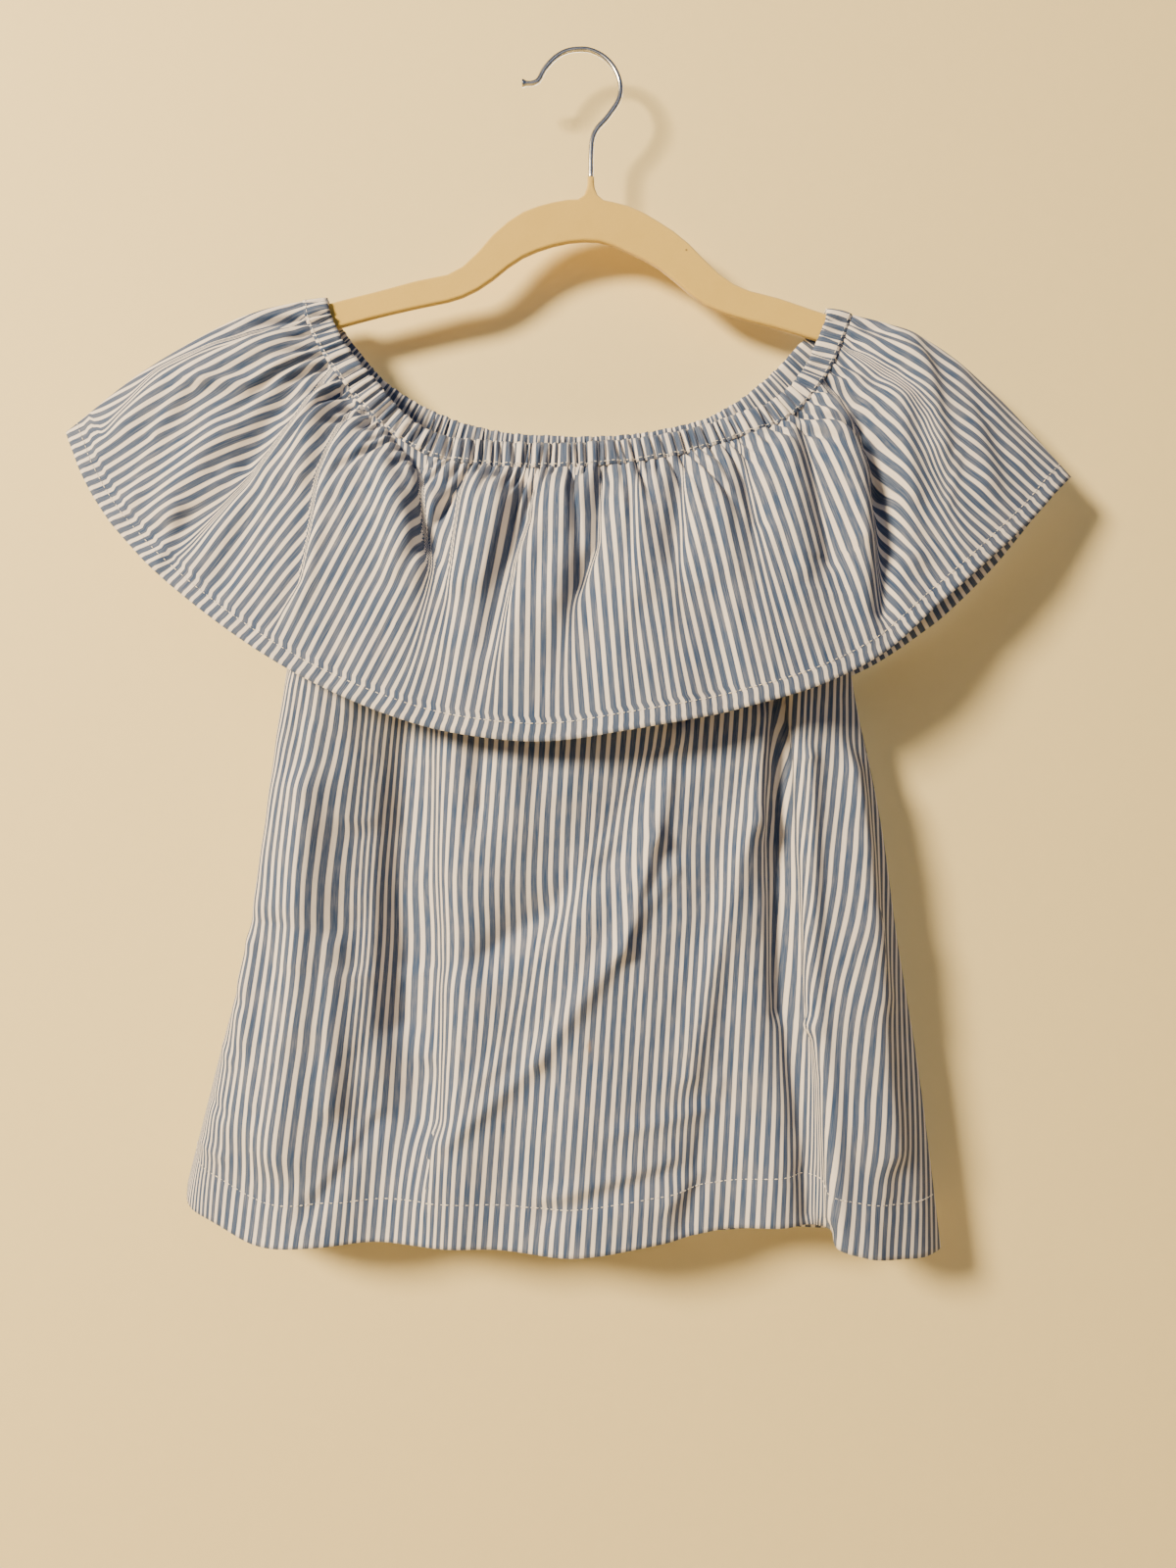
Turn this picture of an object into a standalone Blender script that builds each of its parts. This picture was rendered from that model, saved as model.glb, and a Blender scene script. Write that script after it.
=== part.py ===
"""Striped off-shoulder top with a deep gathered flounce, hanging on a slim flocked hanger.

Units are metres with +Z up, and the front of the top faces -Y. The origin is inside the crown of
the hanger's hook, where a rail or nail bears. The tables below are in millimetres.
"""
import math

import bmesh
import bpy
import numpy as np

MM = 0.001
NAME = "off_shoulder_top"
FRONT = -1.0
BACK = 1.0

# Cloth
CLOTH = 1.2 * MM
HEM_CLOTH = 1.8 * MM
SEAM_GAP = 0.3 * MM
CASING_GAP = 0.6 * MM
BODY_TUCK = 1.9 * MM
BODY_GAP = 1.0 * MM
HEM_SHARE = 0.06
SIDE_ROUND = 4.5 * MM

# Elastic neck casing
CASING_THICK = 2.6 * MM
CASING_GATHERS = 68
STEPS_PER_GATHER = 3
GATHER_HEIGHT = 1.3 * MM
GATHER_EDGE_HEIGHT = 0.6 * MM

# Hanger
HANGER_THICK = 5.5 * MM
HANGER_EDGE = 1.4 * MM
HANGER_STEP = 10.0 * MM
WIRE = 3.5 * MM
NECK_TOP = -83.3 * MM
HOOK_FOOT = -83.0 * MM

# How finely each panel is divided
RUFFLE_COLUMNS = 46
RUFFLE_ROWS = 10
BODY_FRONT_COLUMNS = 40
BODY_FRONT_ROWS = 14
BODY_BACK_COLUMNS = 28
BODY_BACK_ROWS = 11
END_CROWDING = 0.3
RUFFLE_EDGE = (0.00003, 0.0006, 0.0026, 0.0056, 0.010, 0.017, 0.026)
BODY_EDGE = (0.00004, 0.0009, 0.004, 0.009, 0.018)
EDGE_FADE = 0.04

# How far the gathers push the ruffle off the body, and where down its depth that is greatest
PUFF = {FRONT: 6.0 * MM, BACK: 3.5 * MM}
PUFF_RISE = 0.6


def table(columns, *rows):
    """Named columns, one row of numbers for each section, fold or point."""
    return {name: np.array([row[i] for row in rows], float) for i, name in enumerate(columns.split())}


# The neck, from the left shoulder (0) to the right shoulder (1). The inner edge is the opening,
# the outer edge is where the ruffle hangs, and depth is the distance in front of the hanger.
NECK_FRONT = table(
    "along x_in z_in depth_in x_out z_out depth_out",
    (0.000, -165, -164, 0.0, -181, -166, 0.0),
    (0.005, -165, -164, 1.6, -181, -166, 1.6),
    (0.015, -165, -165.4, 4.5, -181, -167.4, 4.5),
    (0.035, -163, -173, 6.5, -179, -178, 7.5),
    (0.075, -156, -190, 9.0, -171, -196, 11.0),
    (0.160, -129, -225, 15.0, -143, -236, 17.0),
    (0.245, -105, -251, 20.5, -113, -264, 23.0),
    (0.290, -88, -260, 22.0, -93, -275, 25.0),
    (0.350, -63, -264, 24.0, -65, -280, 27.0),
    (0.500, -2, -267, 28.0, -2, -283, 31.0),
    (0.660, 62, -260, 27.0, 66, -275, 30.0),
    (0.760, 98, -249, 24.0, 104, -263, 27.0),
    (0.850, 132, -233, 19.0, 142, -245, 21.0),
    (0.930, 153, -204, 11.0, 168, -209, 13.0),
    (0.965, 162, -183, 7.0, 177, -188, 8.0),
    (0.985, 165, -172.4, 4.5, 181, -176.4, 4.5),
    (0.995, 165, -171, 1.6, 181, -175, 1.6),
    (1.000, 165, -171, 0.0, 181, -175, 0.0),
)
NECK_BACK = table(
    "along x_in z_in depth_in x_out z_out depth_out",
    (0.000, -165, -164, 0.0, -181, -166, 0.0),
    (0.005, -165, -164, 1.6, -181, -166, 1.6),
    (0.015, -165, -165.4, 4.5, -181, -167.4, 4.5),
    (0.035, -163, -172, 6.0, -178, -178, 6.5),
    (0.080, -152, -188, 8.0, -164, -199, 9.0),
    (0.160, -129, -215, 11.0, -139, -228, 12.0),
    (0.250, -98, -234, 13.0, -105, -249, 14.0),
    (0.350, -62, -246, 14.0, -65, -262, 15.0),
    (0.500, 2, -251, 15.0, 2, -267, 16.0),
    (0.660, 60, -246, 14.5, 63, -262, 15.5),
    (0.760, 94, -236, 13.0, 101, -251, 14.0),
    (0.850, 125, -215, 11.0, 136, -227, 12.0),
    (0.930, 150, -190, 8.0, 163, -200, 9.0),
    (0.965, 161, -179, 6.0, 175, -187, 6.5),
    (0.985, 165, -172.4, 4.5, 181, -176.4, 4.5),
    (0.995, 165, -171, 1.6, 181, -175, 1.6),
    (1.000, 165, -171, 0.0, 181, -175, 0.0),
)

# The ridge of the ruffle over each shoulder, from the casing (0) to the tip of its hem (1)
SHOULDERS = table(
    "down x_left z_left x_right z_right",
    (0.00, -181, -166, 181, -175),
    (0.16, -207, -172, 207, -183),
    (0.40, -240, -185, 240, -198),
    (0.68, -287, -212, 277, -228),
    (1.00, -338, -252, 327, -282),
)
RUFFLE_HEM_FRONT = table(
    "along x z depth",
    (0.000, -338, -252, 0),
    (0.024, -330, -269, 6),
    (0.074, -311, -304, 14),
    (0.130, -282, -338, 22),
    (0.205, -236, -377, 31),
    (0.312, -163, -423, 41),
    (0.429, -75, -454, 49),
    (0.488, -28, -459, 51),
    (0.566, 34, -452, 53),
    (0.644, 96, -440, 53),
    (0.729, 161, -420, 48),
    (0.770, 190, -405, 42),
    (0.833, 228, -373, 33),
    (0.910, 275, -332, 22),
    (0.953, 300, -309, 14),
    (0.981, 316, -292, 7),
    (1.000, 327, -282, 0),
)
RUFFLE_HEM_BACK = table(
    "along x z depth",
    (0.000, -338, -252, 0),
    (0.024, -331, -267, 4),
    (0.074, -312, -300, 9),
    (0.130, -284, -332, 13),
    (0.205, -239, -370, 17),
    (0.312, -166, -414, 20),
    (0.500, -15, -448, 21),
    (0.644, 98, -437, 21),
    (0.729, 163, -421, 20),
    (0.770, 195, -408, 18),
    (0.833, 238, -380, 16),
    (0.910, 284, -336, 12),
    (0.953, 306, -308, 8),
    (0.981, 319, -292, 4),
    (1.000, 327, -282, 0),
)

# The body's side edges, from the casing (0) past the underarm to the hem (1). Gap is how far the
# front and back edges stand from the middle plane: the armholes, and nothing at the side seams.
SIDES = table(
    "down x_left z_left x_right z_right gap",
    (0.00, -160, -214, 160, -222, 11.5),
    (0.12, -168, -285, 168, -295, 9.5),
    (0.24, -181, -350, 176, -365, 7.0),
    (0.34, -191, -405, 182, -420, 3.5),
    (0.40, -196, -435, 188, -447, 0.0),
    (0.55, -205, -512, 202, -515, 0.0),
    (0.70, -216, -585, 212, -587, 0.0),
    (0.85, -236, -663, 227, -680, 0.0),
    (1.00, -257, -746, 241, -791, 0.0),
)
BODY_TOP = (0.10, 0.90)
BODY_HEM_FRONT = table(
    "along x z depth",
    (0.000, -257, -746, 0),
    (0.025, -254, -759, 8),
    (0.060, -238, -769, 14),
    (0.110, -212, -780, 20),
    (0.200, -168, -780, 31),
    (0.280, -128, -778, 24),
    (0.360, -88, -779, 34),
    (0.450, -44, -781, 32),
    (0.530, -4, -783, 39),
    (0.630, 47, -777, 35),
    (0.730, 98, -769, 27),
    (0.800, 132, -767, 30),
    (0.840, 152, -768, 23),
    (0.862, 161, -772, 24),
    (0.880, 167, -779, 34),
    (0.905, 182, -784, 36),
    (0.950, 209, -789, 25),
    (0.985, 230, -791, 12),
    (1.000, 241, -791, 0),
)
BODY_HEM_BACK = table(
    "along x z depth",
    (0.000, -257, -746, 0),
    (0.030, -252, -760, 7),
    (0.080, -232, -774, 12),
    (0.160, -190, -782, 17),
    (0.260, -140, -785, 14),
    (0.380, -80, -786, 19),
    (0.500, -20, -786, 15),
    (0.620, 42, -787, 19),
    (0.740, 102, -788, 16),
    (0.840, 152, -788, 20),
    (0.920, 196, -789, 14),
    (0.970, 226, -791, 8),
    (1.000, 241, -791, 0),
)

# Folds, each from one place to another in the front view. A width is half of the fold's spread
# and a rise is how far it stands out; a negative rise is a trough.
RUFFLE_FOLDS_FRONT = table(
    "x1 z1 x2 z2 width rise",
    (-185, -184, -275, -207, 9, -3.5),
    (-172, -208, -214, -277, 7, -6.0),
    (-190, -196, -240, -222, 8, 4.0),
    (-162, -222, -176, -290, 8, 4.0),
    (-115, -272, -93, -335, 7, -5.5),
    (-122, -278, -112, -350, 9, 5.0),
    (-78, -285, -88, -342, 6, -4.5),
    (-100, -290, -76, -360, 7, 3.5),
    (-30, -292, -56, -400, 7, -4.0),
    (-50, -295, -62, -360, 8, 3.0),
    (14, -290, 4, -360, 7, -4.0),
    (-6, -292, -16, -370, 9, 3.5),
    (66, -290, 60, -345, 7, -4.0),
    (40, -290, 40, -365, 9, 3.0),
    (108, -272, 116, -320, 6, -3.5),
    (88, -280, 90, -350, 9, 3.5),
    (146, -262, 160, -345, 6, -4.0),
    (130, -265, 142, -350, 8, 3.5),
    (172, -222, 194, -300, 7, -6.0),
    (194, -300, 193, -375, 8, -5.5),
    (160, -240, 178, -330, 8, 5.0),
    (208, -240, 214, -340, 10, 5.0),
    (212, -196, 232, -268, 9, 4.0),
    (250, -215, 262, -290, 11, 3.5),
    (-230, -260, -262, -310, 12, 4.0),
    (-205, -300, -225, -352, 11, -3.5),
)
RUFFLE_FOLDS_BACK = table(
    "x1 z1 x2 z2 width rise",
    (-176, -212, -222, -288, 9, -3.0),
    (-150, -232, -168, -310, 9, 2.5),
    (-112, -262, -118, -340, 9, -2.5),
    (-80, -272, -78, -350, 9, 2.5),
    (-44, -278, -50, -350, 9, -2.5),
    (-8, -280, -12, -370, 10, 2.5),
    (30, -278, 28, -345, 9, -2.5),
    (66, -272, 72, -350, 9, 2.5),
    (104, -262, 112, -335, 9, -2.5),
    (144, -238, 166, -320, 10, 2.5),
    (176, -212, 216, -290, 9, -3.0),
)
BODY_FOLDS_FRONT = table(
    "x1 z1 x2 z2 width rise",
    (-128, -430, -116, -640, 11, -8.0),
    (-148, -425, -143, -650, 9, 5.0),
    (-100, -430, -102, -660, 9, 5.0),
    (-63, -455, -63, -510, 7, -3.0),
    (62, -470, 22, -535, 11, -6.0),
    (22, -535, -58, -600, 10, -5.0),
    (66, -450, 48, -520, 7, 5.0),
    (48, -520, 28, -590, 7, 5.5),
    (28, -590, -24, -660, 7, 5.0),
    (-24, -660, -84, -712, 7, 4.0),
    (122, -440, 114, -510, 9, 5.0),
    (114, -510, 72, -670, 9, 4.5),
    (132, -425, 132, -630, 7, -7.0),
    (148, -470, 150, -640, 6, 5.0),
    (150, -640, 160, -760, 6, 5.0),
    (138, -640, 148, -760, 6, -4.0),
    (-130, -706, -172, -760, 8, -3.5),
    (-20, -758, 60, -732, 7, -3.0),
    (-155, -590, -157, -690, 7, 3.5),
    (-216, -590, -213, -650, 9, 3.0),
    (88, -690, 70, -765, 8, -3.5),
    (180, -470, 196, -620, 12, 3.0),
)
BODY_FOLDS_BACK = table(
    "x1 z1 x2 z2 width rise",
    (-150, -400, -160, -700, 12, -2.5),
    (-95, -330, -98, -720, 13, 2.5),
    (-40, -330, -46, -740, 12, -2.5),
    (12, -330, 10, -700, 13, 2.5),
    (62, -330, 66, -740, 12, -2.5),
    (112, -380, 124, -720, 13, 2.5),
    (160, -430, 178, -700, 12, -2.5),
)

# The hanger's edges, and the wire of its hook from the tip to its foot
HANGER = table(
    "x top low",
    (-206, -181, -198),
    (-185, -174, -191),
    (-164, -167.5, -185),
    (-131, -159, -176),
    (-103, -151.5, -169.5),
    (-82, -146.5, -165),
    (-71, -139, -161),
    (-58, -124, -153),
    (-40, -109, -139),
    (-19, -101, -130),
    (3, -98, -126),
    (16, -99, -126.5),
    (35, -103, -134),
    (57, -115, -146),
    (71, -125, -158),
    (81, -135, -166),
    (92, -146, -171.5),
    (103, -154, -175.5),
    (134, -164, -184),
    (165, -174.5, -193.5),
    (190, -182, -201),
    (214, -190, -208),
)
HANGER_NECK = table(
    "x z",
    (0.5, -98.4),
    (4.5, -95.5),
    (6.2, -91.5),
    (6.8, -88.0),
    (6.8, NECK_TOP / MM),
    (11.2, NECK_TOP / MM),
    (11.2, -88.0),
    (11.8, -91.5),
    (13.5, -95.5),
    (17.5, -98.8),
)
HOOK = table(
    "x z radius",
    (-36.5, -20.8, 1.55),
    (-35.6, -20.8, 1.5),
    (-33.5, -20.9, 1.0),
    (-29.5, -20.7, 1.0),
    (-25.6, -18.4, 1.0),
    (-21.5, -11.0, 1.0),
    (-14.5, -3.6, 1.0),
    (-7, 0.5, 1.0),
    (1, 1.75, 1.0),
    (9, 1.0, 1.0),
    (18, -3.5, 1.0),
    (25, -11.5, 1.0),
    (28.6, -22, 1.0),
    (27.2, -32, 1.0),
    (20, -43, 1.0),
    (13, -51, 1.0),
    (10, -58, 1.0),
    (9.1, -68, 1.0),
    (9, HOOK_FOOT / MM, 1.0),
)
HOOK_POINTS = 40


def smooth(xs, ys, at):
    """Read a smooth curve through the points (xs, ys) at each of the places in `at`."""
    slope = np.gradient(ys, xs)
    i = np.clip(np.searchsorted(xs, at) - 1, 0, len(xs) - 2)
    width = xs[i + 1] - xs[i]
    t = (at - xs[i]) / width
    start = (1 + 2 * t) * (1 - t) ** 2 * ys[i] + t * (1 - t) ** 2 * width * slope[i]
    end = t * t * (3 - 2 * t) * ys[i + 1] + t * t * (t - 1) * width * slope[i + 1]
    return start + end


def edge(rows, key, at, x, z, depth=None, side=FRONT):
    """Points of an edge in metres, read from three columns of a table."""
    y = np.zeros_like(at) if depth is None else smooth(rows[key], rows[depth], at)
    points = [smooth(rows[key], rows[x], at), side * y, smooth(rows[key], rows[z], at)]
    return np.stack(points, -1) * MM


def unit(vectors):
    return vectors / np.maximum(np.linalg.norm(vectors, axis=-1, keepdims=True), 1e-12)


def neck_edges(side, along):
    """The inner and outer edges of the casing's outer face."""
    rows = NECK_FRONT if side == FRONT else NECK_BACK
    inner = edge(rows, "along", along, "x_in", "z_in", "depth_in", side)
    outer = edge(rows, "along", along, "x_out", "z_out", "depth_out", side)
    seam = side * SEAM_GAP / 2
    for points in (inner, outer):
        points[:, 1] = side * np.maximum(side * points[:, 1], side * seam)
    return inner, outer


def out_of(grid, side):
    """Unit normals of a grid of points, pointing out of the garment."""
    down, across = np.gradient(grid, axis=0), np.gradient(grid, axis=1)
    return unit(np.cross(across, down)) * side


def coons(top, low, left, right, down, along):
    """A surface between four edges: the top and hem, and the two sides."""
    s, t = along[None, :, None], down[:, None, None]
    ruled = (1 - t) * top[None] + t * low[None]
    ends_left = (1 - t) * top[0] + t * low[0]
    ends_right = (1 - t) * top[-1] + t * low[-1]
    return ruled + (1 - s) * (left[:, None] - ends_left) + s * (right[:, None] - ends_right)


def fold_rise(grid, folds):
    """How far the folds lift each point of a grid, by its place in the front view."""
    x, z = grid[..., 0] / MM, grid[..., 2] / MM
    rise = np.zeros_like(x)
    for x1, z1, x2, z2, width, height in zip(*(folds[c] for c in ("x1", "z1", "x2", "z2", "width", "rise"))):
        run = (x2 - x1) ** 2 + (z2 - z1) ** 2
        part = np.clip(((x - x1) * (x2 - x1) + (z - z1) * (z2 - z1)) / run, 0, 1)
        away = np.hypot(x - x1 - part * (x2 - x1), z - z1 - part * (z2 - z1))
        rise += height * np.exp(-((away / width) ** 2))
    return rise * MM


def columns_along(count, near):
    """Places from 0 to 1 across a panel, closer together where its edges turn."""
    near = np.array(near)
    even = np.linspace(0, 1, count)
    crowded = even - END_CROWDING * np.sin(2 * np.pi * even) / (2 * np.pi)
    middle = near[-1] + (1 - 2 * near[-1]) * crowded
    return np.concatenate([[0.0], near[:-1], middle, 1 - near[:-1][::-1], [1.0]])


def meet(side_edge, start, down):
    """Shift the first part of a side edge so that it starts at the end of the top edge."""
    return side_edge + (start - side_edge[0]) * (1 - ease(down, 0.0, 0.25))[:, None]


def inside_edges(along):
    """0 at the two side edges and 1 over the rest of a panel."""
    return ease(np.minimum(along, 1 - along), 0.0, EDGE_FADE)


def round_edges(grid, side, rows_round):
    """Turn the two side edges of a panel toward its neighbour, on a small radius."""
    steps = np.linalg.norm(np.diff(grid, axis=1), axis=-1)
    from_left = np.concatenate([np.zeros((len(grid), 1)), np.cumsum(steps, axis=1)], axis=1)
    nearest = np.minimum(from_left, from_left[:, -1:] - from_left)
    turn = np.sqrt(1 - (1 - np.clip(nearest / SIDE_ROUND, 0, 1)) ** 2)
    grid[..., 1] += side * SIDE_ROUND * turn * rows_round[:, None]
    return grid


def ease(value, start, end):
    """0 before start, 1 after end, and a soft step between them."""
    t = np.clip((value - start) / (end - start), 0, 1)
    return t * t * (3 - 2 * t)


def ruffle_grid(side, columns, rows):
    """Outer face of half of the flounce, from the casing to its hem."""
    hem_rows = RUFFLE_HEM_FRONT if side == FRONT else RUFFLE_HEM_BACK
    folds = RUFFLE_FOLDS_FRONT if side == FRONT else RUFFLE_FOLDS_BACK
    along = columns_along(columns, RUFFLE_EDGE)
    down = np.concatenate([np.linspace(0, 1 - HEM_SHARE, rows), [1.0]])
    inner, outer = neck_edges(side, along)
    top = outer + unit(outer - inner) * CASING_GAP
    hem = edge(hem_rows, "along", along, "x", "z", "depth", side)
    left = edge(SHOULDERS, "down", down, "x_left", "z_left")
    right = edge(SHOULDERS, "down", down, "x_right", "z_right")
    for points in (hem, left, right):
        points[:, 1] = side * np.maximum(side * points[:, 1], SEAM_GAP / 2)
    left, right = meet(left, top[0], down), meet(right, top[-1], down)
    grid = coons(top, hem, left, right, down, along)
    grid = round_edges(grid, side, ease(down, 0.0, 0.25))
    lift = fold_rise(grid, folds) * ease(down, 0.02, 0.2)[:, None]
    lift += PUFF[side] * np.sin(np.pi * down**PUFF_RISE)[:, None]
    return grid + out_of(grid, side) * (lift * inside_edges(along))[..., None]


def body_grid(side, columns, rows):
    """Outer face of the front or back panel, from the casing to its hem."""
    hem_rows = BODY_HEM_FRONT if side == FRONT else BODY_HEM_BACK
    folds = BODY_FOLDS_FRONT if side == FRONT else BODY_FOLDS_BACK
    along = columns_along(columns, BODY_EDGE)
    down = np.concatenate([np.linspace(0, 1 - HEM_SHARE, rows), [1.0]])
    inner, outer = neck_edges(side, BODY_TOP[0] + (BODY_TOP[1] - BODY_TOP[0]) * along)
    top = outer + unit(outer - inner) * BODY_GAP
    top[:, 1] -= side * BODY_TUCK
    hem = edge(hem_rows, "along", along, "x", "z", "depth", side)
    left = edge(SIDES, "down", down, "x_left", "z_left", "gap", side)
    right = edge(SIDES, "down", down, "x_right", "z_right", "gap", side)
    for points in (hem, left, right):
        points[:, 1] = side * np.maximum(side * points[:, 1], SEAM_GAP / 2)
    left, right = meet(left, top[0], down), meet(right, top[-1], down)
    grid = coons(top, hem, left, right, down, along)
    grid = round_edges(grid, side, ease(down, 0.30, 0.42))
    lift = fold_rise(grid, folds) * ease(down, 0.05, 0.3)[:, None]
    return grid + out_of(grid, side) * (lift * inside_edges(along))[..., None]


def link(obj, material, collection):
    obj.data.materials.clear()
    obj.data.materials.append(material)
    collection.objects.link(obj)
    return obj


def cloth_panel(name, grid, side, material, collection):
    """A panel of cloth: its outer face as an open sheet, made a wall inward, thicker at the hem."""
    rows, columns = grid.shape[:2]
    faces = []
    for r in range(rows - 1):
        for c in range(columns - 1):
            a = r * columns + c
            quad = (a, a + 1, a + columns + 1, a + columns)
            faces.append(quad[::-1] if side == FRONT else quad)
    mesh = bpy.data.meshes.new(name)
    mesh.from_pydata(grid.reshape(-1, 3).tolist(), [], faces)
    mesh.shade_smooth()
    panel = link(bpy.data.objects.new(name, mesh), material, collection)
    wall = panel.vertex_groups.new(name="wall")
    hem = list(range((rows - 2) * columns, rows * columns))
    wall.add(list(range((rows - 2) * columns)), CLOTH / HEM_CLOTH, "REPLACE")
    wall.add(hem, 1.0, "REPLACE")
    shell = panel.modifiers.new("Wall", "SOLIDIFY")
    shell.thickness = HEM_CLOTH
    shell.vertex_group = wall.name
    shell.offset = -1.0
    return panel


def gather_profile(step):
    """Rise of the casing at a step of a gather: a valley, then a broad puffed ridge."""
    return 0.0 if step % STEPS_PER_GATHER == 0 else 1.0


def neck_casing(name, side, material, collection):
    """Half of the gathered casing: puffed gathers on its outer face, and a plain inner face."""
    count = CASING_GATHERS * STEPS_PER_GATHER
    steps = np.arange(count + 1)
    uneven = 0.35 * np.sin(steps * 1.7) + 0.25 * np.sin(steps * 0.61 + 1.0)
    along = np.clip((steps + uneven) / count, 0, 1)
    along[0], along[-1] = 0, 1
    inner, outer = neck_edges(side, along)
    band = np.stack([inner, outer])
    normal = out_of(band, side)
    normal[:, [0, -1], 1] = 0
    normal = unit(normal)
    size = 0.8 + 0.2 * np.sin(steps * 0.9) * np.sin(steps * 0.23)
    rise = np.array([gather_profile(s) for s in steps]) * size
    rise[[0, -1]] = 0
    middle = (inner + outer) / 2 + (normal[0] + normal[1]) / 2 * (GATHER_HEIGHT * rise)[:, None]
    ring = [
        inner + normal[0] * (GATHER_EDGE_HEIGHT * rise)[:, None],
        middle,
        outer + normal[1] * (GATHER_EDGE_HEIGHT * rise)[:, None],
        outer - normal[1] * CASING_THICK,
        inner - normal[0] * CASING_THICK,
    ]
    points = np.stack(ring, axis=1)
    return link(loft(name, points, side == BACK), material, collection)


def loft(name, sections, turned):
    """A closed solid through a row of sections, each a ring of as many points."""
    count, around = sections.shape[:2]
    faces = [tuple(range(around)), tuple((count - 1) * around + i for i in reversed(range(around)))]
    for s in range(count - 1):
        for i in range(around):
            j = (i + 1) % around
            a = s * around
            faces.append((a + j, a + i, a + around + i, a + around + j))
    if turned:
        faces = [face[::-1] for face in faces]
    mesh = bpy.data.meshes.new(name)
    mesh.from_pydata(sections.reshape(-1, 3).tolist(), [], faces)
    work = bmesh.new()
    work.from_mesh(mesh)
    bmesh.ops.recalc_face_normals(work, faces=work.faces)
    work.to_mesh(mesh)
    work.free()
    mesh.shade_smooth()
    return bpy.data.objects.new(name, mesh)


def hanger_outline():
    """The hanger seen from the front: its top edge, right end, lower edge and left end."""
    places = np.arange(HANGER["x"][0], HANGER["x"][-1], HANGER_STEP / MM)
    places = np.append(places, HANGER["x"][-1])
    top = np.stack([places, smooth(HANGER["x"], HANGER["top"], places)], -1)
    low = np.stack([places, smooth(HANGER["x"], HANGER["low"], places)], -1)
    neck = np.stack([HANGER_NECK["x"], HANGER_NECK["z"]], -1)
    before = top[top[:, 0] < neck[0, 0] - 2]
    after = top[top[:, 0] > neck[-1, 0] + 2]
    ends = []
    for sign, upper, lower in ((1, top[-1], low[-1]), (-1, low[0], top[0])):
        middle, half = (upper + lower) / 2, (upper - lower) / 2
        turn = np.radians([45, 90, 135])[:, None]
        bulge = np.array([half[1], -half[0]])
        ends.append(middle + half * np.cos(turn) + bulge * np.sin(turn))
    return np.concatenate([before, neck, after, ends[0], low[::-1], ends[1]]) * MM


def hanger_body(material, collection):
    """The flocked hanger: a flat outline with its rims rounded."""
    outline = hanger_outline()
    curve = bpy.data.curves.new("hanger_body", "CURVE")
    curve.dimensions = "2D"
    curve.fill_mode = "BOTH"
    curve.extrude = HANGER_THICK / 2
    spline = curve.splines.new("POLY")
    spline.points.add(len(outline) - 1)
    for point, (x, z) in zip(spline.points, outline):
        point.co = (x, z, 0, 1)
    spline.use_cyclic_u = True
    flat = bpy.data.objects.new("hanger_flat", curve)
    flat.rotation_euler = (math.pi / 2, 0, 0)
    collection.objects.link(flat)
    bpy.context.view_layer.update()
    solid = flat.evaluated_get(bpy.context.evaluated_depsgraph_get())
    mesh = bpy.data.meshes.new_from_object(solid)
    mesh.transform(flat.matrix_world)
    work = bmesh.new()
    work.from_mesh(mesh)
    bmesh.ops.remove_doubles(work, verts=work.verts, dist=0.00001)
    bmesh.ops.recalc_face_normals(work, faces=work.faces)
    work.to_mesh(mesh)
    work.free()
    bpy.data.objects.remove(flat)
    body = link(bpy.data.objects.new("hanger_body", mesh), material, collection)
    rim = body.modifiers.new("Rim", "BEVEL")
    rim.width = HANGER_EDGE
    rim.segments = 2
    rim.limit_method = "ANGLE"
    rim.angle_limit = math.radians(60)
    return body


def hanger_hook(material, collection):
    """The wire hook, with its end flared where the wire was upset."""
    place = np.arange(len(HOOK["x"]), dtype=float)
    at = np.linspace(0, place[-1], HOOK_POINTS)
    curve = bpy.data.curves.new("hanger_hook", "CURVE")
    curve.dimensions = "3D"
    curve.bevel_depth = WIRE / 2
    curve.bevel_resolution = 2
    curve.use_fill_caps = True
    spline = curve.splines.new("POLY")
    spline.points.add(HOOK_POINTS - 1)
    columns = [smooth(place, HOOK[name], at) for name in ("x", "z", "radius")]
    for point, x, z, radius in zip(spline.points, *columns):
        point.co = (x * MM, 0, z * MM, 1)
        point.radius = radius
    return link(bpy.data.objects.new("hanger_hook", curve), material, collection)


def surface(name, color, roughness, metallic=0.0):
    material = bpy.data.materials.new(name)
    material.use_nodes = True
    shader = material.node_tree.nodes["Principled BSDF"]
    shader.inputs["Base Color"].default_value = (*color, 1)
    shader.inputs["Roughness"].default_value = roughness
    shader.inputs["Metallic"].default_value = metallic
    return material


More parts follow.
